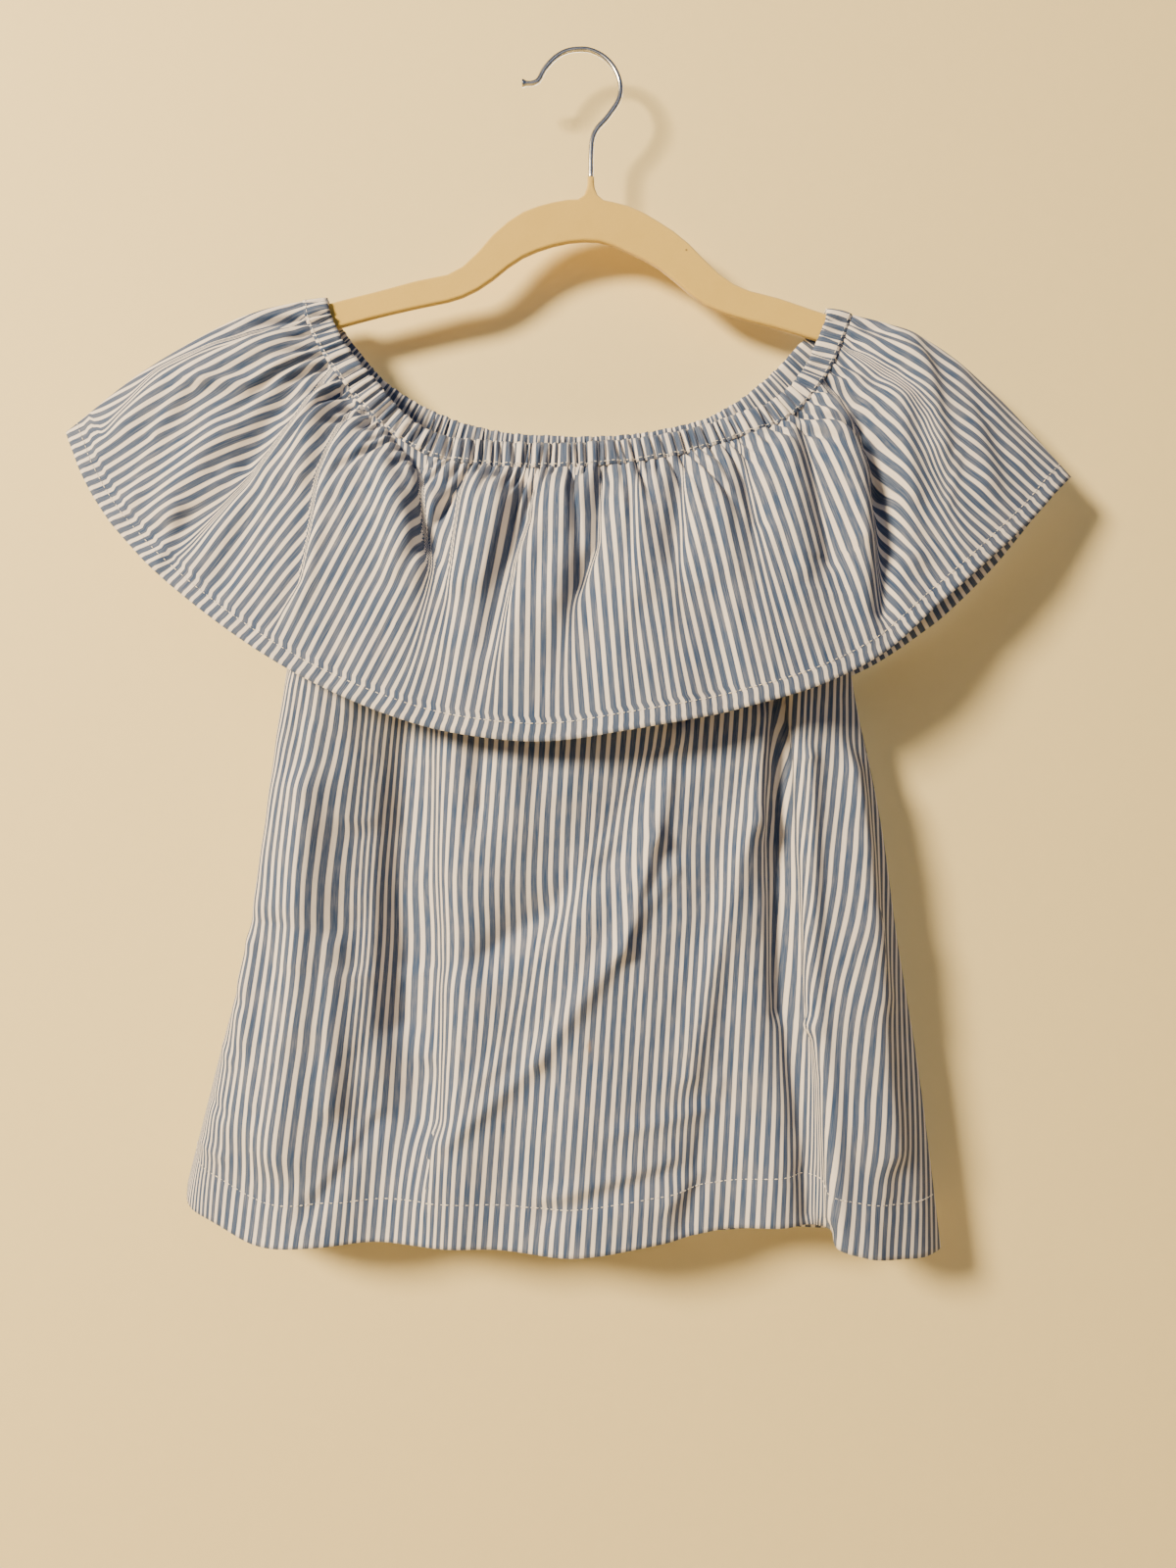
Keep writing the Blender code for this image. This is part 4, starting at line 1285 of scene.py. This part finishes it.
def ruffle_cloth(side, cloth):
    """Fine outer face of half the flounce, and the cloth's place at each of its points."""
    columns, rows = RUFFLE_FINE[side]
    even = np.linspace(0, 1, columns)
    along = even - END_CROWDING * np.sin(2 * np.pi * even) / (2 * np.pi)
    down = np.linspace(0, 1, rows) ** ROW_CROWDING
    edges = inside_edges(along)
    hem_rows, folds = RUFFLE_TABLES[side]
    base = panel_base(side, along, down, along, RUFFLE_TUCK * edges, hem_rows, SHOULDERS, RUFFLE_ROUNDED)
    valleys = gathers(along, down, CASING_SEEDS[side][0])
    lift = fold_rise(base, folds) * ease(down, 0.02, 0.2)[:, None]
    run = lengths_along(base)
    if side == FRONT:
        lift += crease_rise(base, RUFFLE_CREASES) * ease(down, 0.0, 0.12)[:, None]
        folds_at, reach = [], []
        for number in np.unique(RUFFLE_LINES["fold"]):
            away, depth, width, flap = fold_line(base, RUFFLE_LINES, number)
            lift += fold_depth(away, depth, width, flap) * ease(down, -0.02, 0.06)[:, None]
            nearest = np.argmin(abs(away), axis=1)
            folds_at.append(fold_places(run, away))
            softness = np.maximum(width[np.arange(rows), nearest] - CRISP_WIDTH, 0)
            reach.append((CRISP_REACH + SOFT_REACH * softness) * MM)
        stripes_at = [stripe_places(base, run, *row) for row in zip(*RUFFLE_STRIPES.values())]
    else:
        held = np.array(RUFFLE_BACK_FOLDS)
        between = np.concatenate([[0], (held[1:] + held[:-1]) / 2, [1]])
        folds_at, stripes_at = ([np.array([np.interp(place, along, row) for row in run]) for place in at]
                                for at in (held, between))
        reach = [(3 + 11 * down) * MM] * len(held)
    lift += PUFF[side] * np.sin(np.pi * down**PUFF_RISE)[:, None]
    places = ruffle_places(base, run, down, valleys, stripes_at, folds_at, reach)
    puffed = 0.6 + 0.4 * ease(down, 0.0, 0.06) * (1 - ease(down, 0.3, 0.8))
    lift -= GATHER_DEPTH * valleys * puffed[:, None]
    s, t = np.meshgrid(along * (2 * RUFFLE_HALF), down * RUFFLE_DEPTH)
    crumple(lift, s, t, cloth.crumple, RUFFLE_CRUMPLE, ease(down, 0.05, 0.4)[:, None])
    lift -= hem_groove(s, t, down, RUFFLE_DEPTH, HEM_LINE, *RUFFLE_GROOVE)
    lift += soft_noise(s, t, 0.030, 0.5, 24) * 1.0 * MM * ease(down, 0.75, 1.0)[:, None]
    return base + out_of(base, side) * (lift * edges)[..., None], places


def blur_rows(field, reach):
    """A field softened along the length of the cloth."""
    steps = np.arange(-3 * reach, 3 * reach + 1)
    weights = np.exp(-((steps / reach) ** 2))
    before = 2 * field[0] - field[3 * reach:0:-1]
    after = 2 * field[-1] - field[-2:-3 * reach - 2:-1]
    padded = np.concatenate([before, field, after])
    total = sum(w * padded[i:i + len(field)] for i, w in enumerate(weights))
    return total / weights.sum()


def ruffle_places(base, run, down, valleys, stripes_at, folds_at, reach):
    """Places on the flat cloth. Stripes run side by side between folds, and each fold hides the rest."""
    small = (valleys + 0.05)[:, 1:] * np.diff(run, axis=1)
    in_folds = (1 - GATHERED_SHARE + GATHERED_SHARE * ease(down, 0.02, 0.30))[:, None]
    places = run - stripes_at[0][:, None]
    for k, fold_at in enumerate(folds_at):
        shown = stripes_at[k + 1] - stripes_at[k]
        hidden = np.maximum(shown[-1] - shown, 0)[:, None]
        away = run - fold_at[:, None]
        step = 0.5 + 0.5 * np.tanh(1.2 * away / reach[k][:, None])
        near = small * np.exp(-((away[:, 1:] / GATHERED_REACH) ** 2)) + 1e-12
        gathered = np.cumsum(near, axis=1) / near.sum(axis=1)[:, None]
        gathered = np.concatenate([np.zeros((len(down), 1)), gathered], axis=1)
        places += hidden * (in_folds * step + (1 - in_folds) * gathered)
    places -= places[-1, np.argmin(abs(base[-1, :, 0] / MM - RUFFLE_CENTRE))]
    return np.stack([places, np.repeat((down * RUFFLE_DEPTH)[:, None], run.shape[1], 1)], -1)


def body_cloth(side, cloth):
    """Fine outer face of the front or back panel, and the cloth's place at each of its points."""
    columns, rows = BODY_FINE[side]
    even = np.linspace(0, 1, columns)
    along = even - BODY_CROWDING * np.sin(2 * np.pi * even) / (2 * np.pi)
    covered = rows // COVERED_ROWS
    upper = np.linspace(0, COVERED, covered, endpoint=False)
    down = np.concatenate([upper, np.linspace(COVERED, 1, rows - covered)])
    neck_along = BODY_TOP[0] + (BODY_TOP[1] - BODY_TOP[0]) * along
    hem_rows, folds = BODY_TABLES[side]
    base = panel_base(side, along, down, neck_along, BODY_TUCK, hem_rows, SIDES, BODY_ROUNDED, "gap", side)
    lift = fold_rise(base, folds) * ease(down, 0.05, 0.3)[:, None]
    if side == FRONT:
        lift += crease_rise(base, BODY_CREASES)
        for number in np.unique(BODY_LINES["fold"]):
            lift += fold_depth(*fold_line(base, BODY_LINES, number))
    s, t = np.meshgrid(along * BODY_WIDTH, down * BODY_DEPTH)
    crumple(lift, s, t, cloth.crumple, BODY_CRUMPLE, 1.0)
    lift -= hem_groove(s, t, down, BODY_DEPTH, BODY_HEM_LINE, *BODY_GROOVE)
    grid = base + out_of(base, side) * (lift * inside_edges(along))[..., None]
    return grid, body_places(base, down, side)


def body_places(base, down, side):
    """Places on the flat panel. Its stripes crowd where a fold takes up cloth."""
    x, z = base[..., 0] / MM, base[..., 2] / MM
    density = np.ones_like(x)
    if side == FRONT:
        for x1, z1, take1, x2, z2, take2, width in zip(*BODY_TAKES.values()):
            part = (z - z1) / (z2 - z1)
            held = np.clip(part, 0, 1)
            wide = width * (1 + 1.2 * np.clip(abs(part - 0.5) - 0.5, 0, 1))
            off = x - x1 - held * (x2 - x1)
            take = take1 + (take2 - take1) * held
            density += take / (wide * math.sqrt(math.pi)) * np.exp(-((off / wide) ** 2))
    taken = across_steps(base) * blur_rows((density[:, 1:] + density[:, :-1]) / 2, 4)
    run = np.concatenate([np.zeros((len(down), 1)), np.cumsum(taken, axis=1)], axis=1)
    (x1, z1), (x2, z2) = BODY_REFERENCE
    places = np.zeros_like(run)
    for row in range(len(down)):
        line = x1 + (x2 - x1) * (z[row].mean() - z1) / (z2 - z1)
        places[row] = run[row] - np.interp(line, x[row], run[row])
    depth = np.repeat((down * BODY_DEPTH)[:, None], run.shape[1], 1)
    return np.stack([places, depth], -1)


def casing_puffs(along, seed):
    """Height of the puffs of the casing: 0 in the valleys between gathers, and about 1 on each puff."""
    places, depth = gather_places(CASING_GATHERS, seed)[:2]
    valleys = np.zeros_like(along)
    for place, deep in zip(places, depth):
        valleys += deep * np.exp(-(((along - place) / PUFF_WIDTH) ** 2))
    tall = 0.92 + 0.22 * soft_noise(along, along * 0, 0.013, 1.0, seed + 5)
    return tall - np.clip(valleys, 0, 1.15)


def casing_points(side, along, inner, outer, normal, ends):
    """Points round the casing at each place along it, and how far round the cloth each one lies."""
    turned = soft_noise(along, along * 0, 0.021, 1.0, LEAN_SEED + int(side)) * 0.0055
    ring, shares = [], []
    for step in range(2 * CASING_POINTS):
        outside = step < CASING_POINTS
        t = (step if outside else 2 * CASING_POINTS - 1 - step) / (CASING_POINTS - 1)
        bulge = 0.45 + 0.55 * math.sin(math.pi * t) ** 0.6
        puffed = casing_puffs(along + turned * (t - 0.9), CASING_SEEDS[side][0 if outside else 1]) * ends
        puff, valley, sunk = OUTER_PUFF if outside else INNER_PUFF
        rise = bulge * (puffed * puff - valley) - sunk
        if not outside:
            rise = -(CASING_THICK / MM + rise)
        shares.append(t if outside else 2.1 - t)
        out = normal[0] * (1 - t) + normal[1] * t
        ring.append(inner * (1 - t) + outer * t + out * (rise * MM)[:, None])
    return np.stack(ring, axis=1), shares + [2.2]


def casing_places(along, inner, outer, seed):
    """Places along the flat casing. The valleys between gathers hide more cloth than the puffs show."""
    hidden = 1 - casing_puffs(along, seed)
    steps = np.linalg.norm(np.diff((inner + outer) / 2, axis=0), axis=-1)
    taken = steps * (0.55 + 1.6 * (hidden[1:] + hidden[:-1]) / 2)
    places = np.concatenate([[0], np.cumsum(taken)])
    return (places / places[-1] * 2 - 1) * CASING_HALF


def casing_cloth(name, side):
    """Half of the gathered casing, puffed between its valleys on both faces."""
    along = np.linspace(0, 1, CASING_GATHERS * CASING_STEPS + 1)
    inner, outer = neck_edges(side, along)
    normal = out_of(np.stack([inner, outer]), side)
    normal[:, [0, -1], 1] = 0
    normal = unit(normal)
    ends = ease(np.minimum(along, 1 - along), 0.0, CASING_END)
    points, shares = casing_points(side, along, inner, outer, normal, ends)
    low = CASING_POINTS - 2
    line = points[2:-2, low] * 0.7 + points[2:-2, low + 1] * 0.3
    SHAPES[name] = line + unit(normal[1])[2:-2] * 0.3 * MM
    frill = soft_noise(along * 0.48, along * 0, 0.0022, 1.0, FRILL_SEED + int(side))
    points[:, [0, -1]] += (unit(inner - outer) * (0.5 * MM * frill * ends)[:, None])[:, None]
    at = casing_places(along, inner, outer, CASING_SEEDS[side][0])
    return tube(name, "cloth", points, at, [share * CASING_CLOTH for share in shares])


# Stitches

def stitch_tree(material):
    """Geometry Nodes: threads laid end to end along a path."""
    tree = bpy.data.node_groups.new("stitch_line", "GeometryNodeTree")
    face = tree.interface
    face.new_socket("Path", in_out="INPUT", socket_type="NodeSocketGeometry")
    for name, value in (("Spacing", 0.003), ("Share", 0.7), ("Thread", 0.0005)):
        socket = face.new_socket(name, in_out="INPUT", socket_type="NodeSocketFloat")
        socket.default_value = value
    seed = face.new_socket("Seed", in_out="INPUT", socket_type="NodeSocketInt")
    seed.default_value = 7
    face.new_socket("Stitches", in_out="OUTPUT", socket_type="NodeSocketGeometry")
    given = tree.nodes.new("NodeGroupInput").outputs
    result = tree.nodes.new("NodeGroupOutput")
    spaced = add_node(tree, "GeometryNodeResampleCurve", [
        ("Curve", given["Path"]), ("Length", given["Spacing"])], mode="LENGTH")
    ball = add_node(tree, "GeometryNodeMeshUVSphere", [("Segments", 6), ("Rings", 4), ("Radius", 0.5)])
    tangent = add_node(tree, "GeometryNodeInputTangent").outputs["Tangent"]
    turn = add_node(tree, "FunctionNodeAlignEulerToVector", [("Vector", tangent)], axis="X")
    length = math_node(tree, "MULTIPLY", given["Spacing"], given["Share"])
    size = add_node(tree, "ShaderNodeCombineXYZ", [
        ("X", length), ("Y", given["Thread"]), ("Z", given["Thread"])])
    least, most = STITCH_RANGE
    chance = add_node(tree, "FunctionNodeRandomValue", [
        ("Seed", given["Seed"]), (2, least), (3, most)], data_type="FLOAT")
    uneven = add_node(tree, "ShaderNodeVectorMath", [
        (0, size.outputs[0]), ("Scale", chance.outputs[1])], operation="SCALE")
    laid = add_node(tree, "GeometryNodeInstanceOnPoints", [
        ("Points", spaced.outputs["Curve"]), ("Instance", ball.outputs["Mesh"]),
        ("Rotation", turn.outputs["Rotation"]), ("Scale", uneven.outputs["Vector"])])
    real = add_node(tree, "GeometryNodeRealizeInstances", [("Geometry", laid.outputs["Instances"])])
    smoothed = add_node(tree, "GeometryNodeSetShadeSmooth", [("Geometry", real.outputs["Geometry"])])
    dressed = add_node(tree, "GeometryNodeSetMaterial", [
        ("Geometry", smoothed.outputs[0]), ("Material", material)])
    tree.links.new(dressed.outputs["Geometry"], result.inputs["Stitches"])
    return tree


def sewn_line(name, lines, tree, material, sewing):
    """One piece of stitches along all of its lines."""
    curve = bpy.data.curves.new(name, "CURVE")
    curve.dimensions = "3D"
    for points in lines:
        spline = curve.splines.new("POLY")
        spline.points.add(len(points) - 1)
        spline.points.foreach_set("co", np.column_stack([points, np.ones(len(points))]).ravel())
    path = put(name + "_path", curve)
    modifier = path.modifiers.new("Stitches", "NODES")
    modifier.node_group = tree
    values = {"Spacing": sewing.stitch, "Share": sewing.share, "Thread": sewing.thread, "Seed": len(name)}
    for socket in tree.interface.items_tree:
        if socket.in_out == "INPUT" and socket.name in values:
            modifier[socket.identifier] = values[socket.name]
    bpy.context.view_layer.update()
    made = path.evaluated_get(bpy.context.evaluated_depsgraph_get())
    mesh = bpy.data.meshes.new_from_object(made)
    bpy.data.objects.remove(path)
    piece = put(name, mesh)
    piece.data.materials.clear()
    piece.data.materials.append(material)
    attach(piece, BODY)
    return piece


def line_across(grid, down_share, side, lift=0.25 * MM):
    """A line over the cloth at a share of its depth, just above the surface."""
    row = down_share * (len(grid) - 1)
    low = int(row)
    points = grid[low] * (1 - row + low) + grid[min(low + 1, len(grid) - 1)] * (row - low)
    normal = out_of(grid, side)[low]
    return (points + normal * lift)[3:-3]


# Operators

class TOP_OT_ruffle(bpy.types.Operator):
    """Make the two halves of the flounce"""

    bl_idname = "top.ruffle"
    bl_label = "Flounce"

    def execute(self, context):
        cloth = context.scene.top_cloth
        material = striped_cotton("striped_cotton_flounce", cloth)
        for side, half in HALVES:
            node = "ruffle_" + half
            SHAPES[node], places = ruffle_cloth(side, cloth)
            piece = sheet_mesh(node + "_cloth", SHAPES[node], places, side, RUFFLE_HEM_ROWS)
            wear(piece, material, "striped_cotton", node)
        return {"FINISHED"}


class TOP_OT_body(bpy.types.Operator):
    """Make the front and back panels"""

    bl_idname = "top.body"
    bl_label = "Body panels"

    def execute(self, context):
        cloth = context.scene.top_cloth
        for side, half in HALVES:
            node = "body_" + half
            material = striped_cotton("striped_cotton_" + node, cloth, stained=side == FRONT)
            SHAPES[node], places = body_cloth(side, cloth)
            piece = sheet_mesh(node + "_cloth", SHAPES[node], places, side, BODY_HEM_ROWS)
            wear(piece, material, "striped_cotton", node)
        return {"FINISHED"}


class TOP_OT_casing(bpy.types.Operator):
    """Make the two halves of the gathered neck casing"""

    bl_idname = "top.casing"
    bl_label = "Neck casing"

    def execute(self, context):
        cloth = context.scene.top_cloth
        material = striped_cotton("striped_cotton_casing", cloth)
        for side, half in HALVES:
            node = "neck_casing_" + half
            piece = casing_cloth(node + "_cloth", side)
            wear(piece, material, "striped_cotton", node)
        return {"FINISHED"}


class TOP_OT_stitches(bpy.types.Operator):
    """Sew the hems and the casing with Geometry Nodes"""

    bl_idname = "top.stitches"
    bl_label = "Stitches"

    def execute(self, context):
        sewing = context.scene.top_sewing
        material = thread_material(sewing)
        tree = stitch_tree(material)
        share = (1 - HEM_LINE / RUFFLE_DEPTH) ** (1 / ROW_CROWDING)
        lines = [line_across(SHAPES["ruffle_" + half], share, side) for side, half in HALVES]
        sewn_line("flounce_hem_stitches", lines, tree, material, sewing)
        lines = [SHAPES[f"neck_casing_{half}_cloth"] for side, half in HALVES]
        sewn_line("casing_stitches", lines, tree, material, sewing)
        lines = []
        for side, half in HALVES:
            rows = BODY_FINE[side][1]
            covered = rows // COVERED_ROWS
            depth = 1 - BODY_HEM_LINE / BODY_DEPTH
            row = covered + (depth - COVERED) / (1 - COVERED) * (rows - covered - 1)
            lines.append(line_across(SHAPES["body_" + half], row / (rows - 1), side))
        sewn_line("body_hem_stitches", lines, tree, material, sewing)
        return {"FINISHED"}


class TOP_OT_hanger(bpy.types.Operator):
    """Make the flocked hanger and its wire hook"""

    bl_idname = "top.hanger"
    bl_label = "Hanger"

    def execute(self, context):
        hanger = context.scene.top_hanger
        wear(flocked_body(), flock_material(hanger), "cream_flock", "hanger_body")
        wear(wire_hook(), wire_material(hanger), "chromed_wire", "hanger_hook")
        return {"FINISHED"}


class TOP_OT_stage(bpy.types.Operator):
    """Set the wall, the floor, the light and the camera"""

    bl_idname = "top.stage"
    bl_label = "Stage"

    def execute(self, context):
        stage = context.scene.top_stage
        set_wall(stage)
        set_light(stage)
        set_camera(stage)
        return {"FINISHED"}


def flocked_body():
    """The hanger's outline, filled and given its thickness and rounded rims."""
    outline = hanger_outline()
    rim = HANGER_EDGE * 1.3
    curve = bpy.data.curves.new("flocked_hanger", "CURVE")
    curve.dimensions = "2D"
    curve.fill_mode = "BOTH"
    curve.extrude = HANGER_THICK / 2 - rim
    curve.bevel_depth = rim
    curve.bevel_resolution = 5
    curve.offset = -rim
    spline = curve.splines.new("POLY")
    spline.points.add(len(outline) - 1)
    for point, (x, z) in zip(spline.points, outline):
        point.co = (x, z, 0, 1)
    spline.use_cyclic_u = True
    flat = put("hanger_flat", curve)
    flat.rotation_euler = (math.pi / 2, 0, 0)
    bpy.context.view_layer.update()
    solid = flat.evaluated_get(bpy.context.evaluated_depsgraph_get())
    mesh = bpy.data.meshes.new_from_object(solid)
    mesh.transform(flat.matrix_world)
    bpy.data.objects.remove(flat)
    turn_out(mesh, merge=0.02 * MM)
    piece = put("flocked_hanger", mesh)
    piece.modifiers.new("Flat faces", "WEIGHTED_NORMAL")
    return piece


def wire_hook():
    """The bent wire, from its tip to its foot in the hanger."""
    place = np.arange(len(HOOK["x"]), dtype=float)
    at = np.linspace(0, place[-1], HOOK_POINTS)
    x, z, radius = (smooth(place, HOOK[name], at) for name in ("x", "z", "radius"))
    centre = np.stack([x, z], -1) * MM
    tangent = unit(np.gradient(centre, axis=0))
    side = np.stack([-tangent[:, 1], tangent[:, 0]], -1)
    turn = np.linspace(0, 2 * np.pi, HOOK_SIDES, endpoint=False)
    reach = radius * WIRE / 2
    points = np.zeros((HOOK_POINTS, HOOK_SIDES, 3))
    points[..., 0] = centre[:, None, 0] + side[:, None, 0] * np.cos(turn) * reach[:, None]
    points[..., 1] = np.sin(turn)[None] * reach[:, None]
    points[..., 2] = centre[:, None, 1] + side[:, None, 1] * np.cos(turn) * reach[:, None]
    run = np.concatenate([[0], np.cumsum(np.linalg.norm(np.diff(centre, axis=0), axis=-1))])
    piece = tube("wire_hook", "along_wire", points, run, [i / HOOK_SIDES for i in range(HOOK_SIDES + 1)])
    tip = piece.modifiers.new("Tip", "BEVEL")
    tip.width = 0.5 * MM
    tip.segments = 2
    tip.limit_method = "ANGLE"
    tip.angle_limit = math.radians(50)
    return piece


# Stage

def plane(name, corners, material):
    """One flat face of the stage."""
    mesh = bpy.data.meshes.new(name)
    mesh.from_pydata(corners, [], [(0, 1, 2, 3)])
    mesh.materials.append(material)
    return put(name, mesh)


def set_wall(stage):
    """A pale wall close behind, seen from its front, and a pale floor far below."""
    material, tree, shader = new_material("pale_wall")
    grain = noise(tree, place_on(tree), 120.0, 3.0)
    shade = mix_colour(tree, grain, tinted(stage.wall, 0.97), (*stage.wall, 1))
    set_inputs(tree, shader, [
        ("Base Color", shade), ("Roughness", 0.75), ("Normal", bump(tree, grain, 0.15, 0.0008))])
    clear = add_node(tree, "ShaderNodeBsdfTransparent").outputs[0]
    behind = add_node(tree, "ShaderNodeNewGeometry").outputs["Backfacing"]
    one_sided = add_node(tree, "ShaderNodeMixShader", [(0, behind), (1, shader.outputs[0]), (2, clear)])
    tree.links.new(one_sided.outputs[0], tree.nodes["Material Output"].inputs["Surface"])
    low, high = (WALL_AT, FLOOR), (WALL_AT, WALL_TOP)
    corners = [(-STAGE_HALF, *low), (STAGE_HALF, *low), (STAGE_HALF, *high), (-STAGE_HALF, *high)]
    wall = plane("wall", corners, material)
    material, tree, shader = new_material("pale_floor")
    set_inputs(tree, shader, [("Base Color", (*stage.wall, 1)), ("Roughness", 0.8)])
    near, far = (-STAGE_DEPTH, FLOOR), (STAGE_DEPTH, FLOOR)
    corners = [(-STAGE_HALF, *near), (STAGE_HALF, *near), (STAGE_HALF, *far), (-STAGE_HALF, *far)]
    ground = plane("floor", corners, material)


def area_light(name, place, size, power, colour):
    """A round soft light that faces the middle of the top."""
    lamp = bpy.data.lights.new(name, "AREA")
    lamp.shape = "DISK"
    lamp.size = size
    lamp.energy = power
    lamp.color = colour
    light = put(name, lamp)
    light.location = place
    light.rotation_euler = (Vector(MIDDLE) - Vector(place)).to_track_quat("-Z", "Y").to_euler()
    return light


def set_light(stage):
    """A soft key light from the upper left, weak light from the other sides, and a bluish world."""
    area_light("key", (-2.1, -2.2, 0.7), 0.8, stage.key, (1.0, 0.81, 0.54))
    area_light("fill", (0.6, -2.4, 0.3), 2.0, stage.key * 0.017, (1.0, 0.88, 0.72))
    back = area_light("back", (0.3, 1.9, 0.3), 1.8, stage.key * 0.17, (1.0, 0.98, 0.95))
    shaded = bpy.data.collections.new("shades_back_light")
    shaded.objects.link(bpy.data.objects["wall"])
    back.light_linking.blocker_collection = shaded
    for entry in shaded.collection_objects:
        entry.light_linking.link_state = "EXCLUDE"
    world = bpy.data.worlds.new("studio")
    world.use_nodes = True
    tree = world.node_tree
    sky = tree.nodes["Background"]
    set_inputs(tree, sky, [("Color", (0.30, 0.52, 1.0, 1)), ("Strength", 0.24)])
    seen = add_node(tree, "ShaderNodeBackground", [("Color", (1.0, 0.93, 0.82, 1)), ("Strength", 0.9)])
    direct = add_node(tree, "ShaderNodeLightPath").outputs["Is Camera Ray"]
    both = add_node(tree, "ShaderNodeMixShader", [(0, direct), (1, sky.outputs[0]), (2, seen.outputs[0])])
    tree.links.new(both.outputs[0], tree.nodes["World Output"].inputs["Surface"])
    bpy.context.scene.world = world


def set_camera(stage):
    """A camera straight in front of the top."""
    data = bpy.data.cameras.new("camera")
    data.lens = stage.lens
    data.sensor_width = 36.0
    camera = put("camera", data)
    camera.location = CAMERA_AT
    camera.rotation_euler = (math.pi / 2, 0, 0)
    bpy.context.scene.camera = camera


class TOP_PT_pieces(bpy.types.Panel):
    """Lists the pieces of the top in the sidebar."""

    bl_idname = "TOP_PT_pieces"
    bl_label = "Off-shoulder top"
    bl_space_type = "VIEW_3D"
    bl_region_type = "UI"
    bl_category = "Top"

    def draw(self, context):
        scene = context.scene
        for group in (scene.top_cloth, scene.top_sewing, scene.top_hanger, scene.top_stage):
            box = self.layout.box()
            for name in group.__annotations__:
                box.prop(group, name)
        for operator in OPERATORS:
            self.layout.operator(operator.bl_idname)


GROUPS = {"top_cloth": TopCloth, "top_sewing": TopSewing, "top_hanger": TopHanger, "top_stage": TopStage}
OPERATORS = (TOP_OT_hanger, TOP_OT_casing, TOP_OT_ruffle, TOP_OT_body, TOP_OT_stitches, TOP_OT_stage)


def register():
    """Makes the settings, the operators and the panel known."""
    for group in (*GROUPS.values(), *OPERATORS, TOP_PT_pieces):
        bpy.utils.register_class(group)
    for name, group in GROUPS.items():
        setattr(bpy.types.Scene, name, bpy.props.PointerProperty(type=group))


def unregister():
    """Takes them away again."""
    for name in GROUPS:
        delattr(bpy.types.Scene, name)
    for group in reversed((*GROUPS.values(), *OPERATORS, TOP_PT_pieces)):
        bpy.utils.unregister_class(group)


def main():
    """Makes every group of pieces."""
    register()
    for operator in OPERATORS:
        group, name = operator.bl_idname.split(".")
        getattr(getattr(bpy.ops, group), name)()


if __name__ == "__main__":
    main()
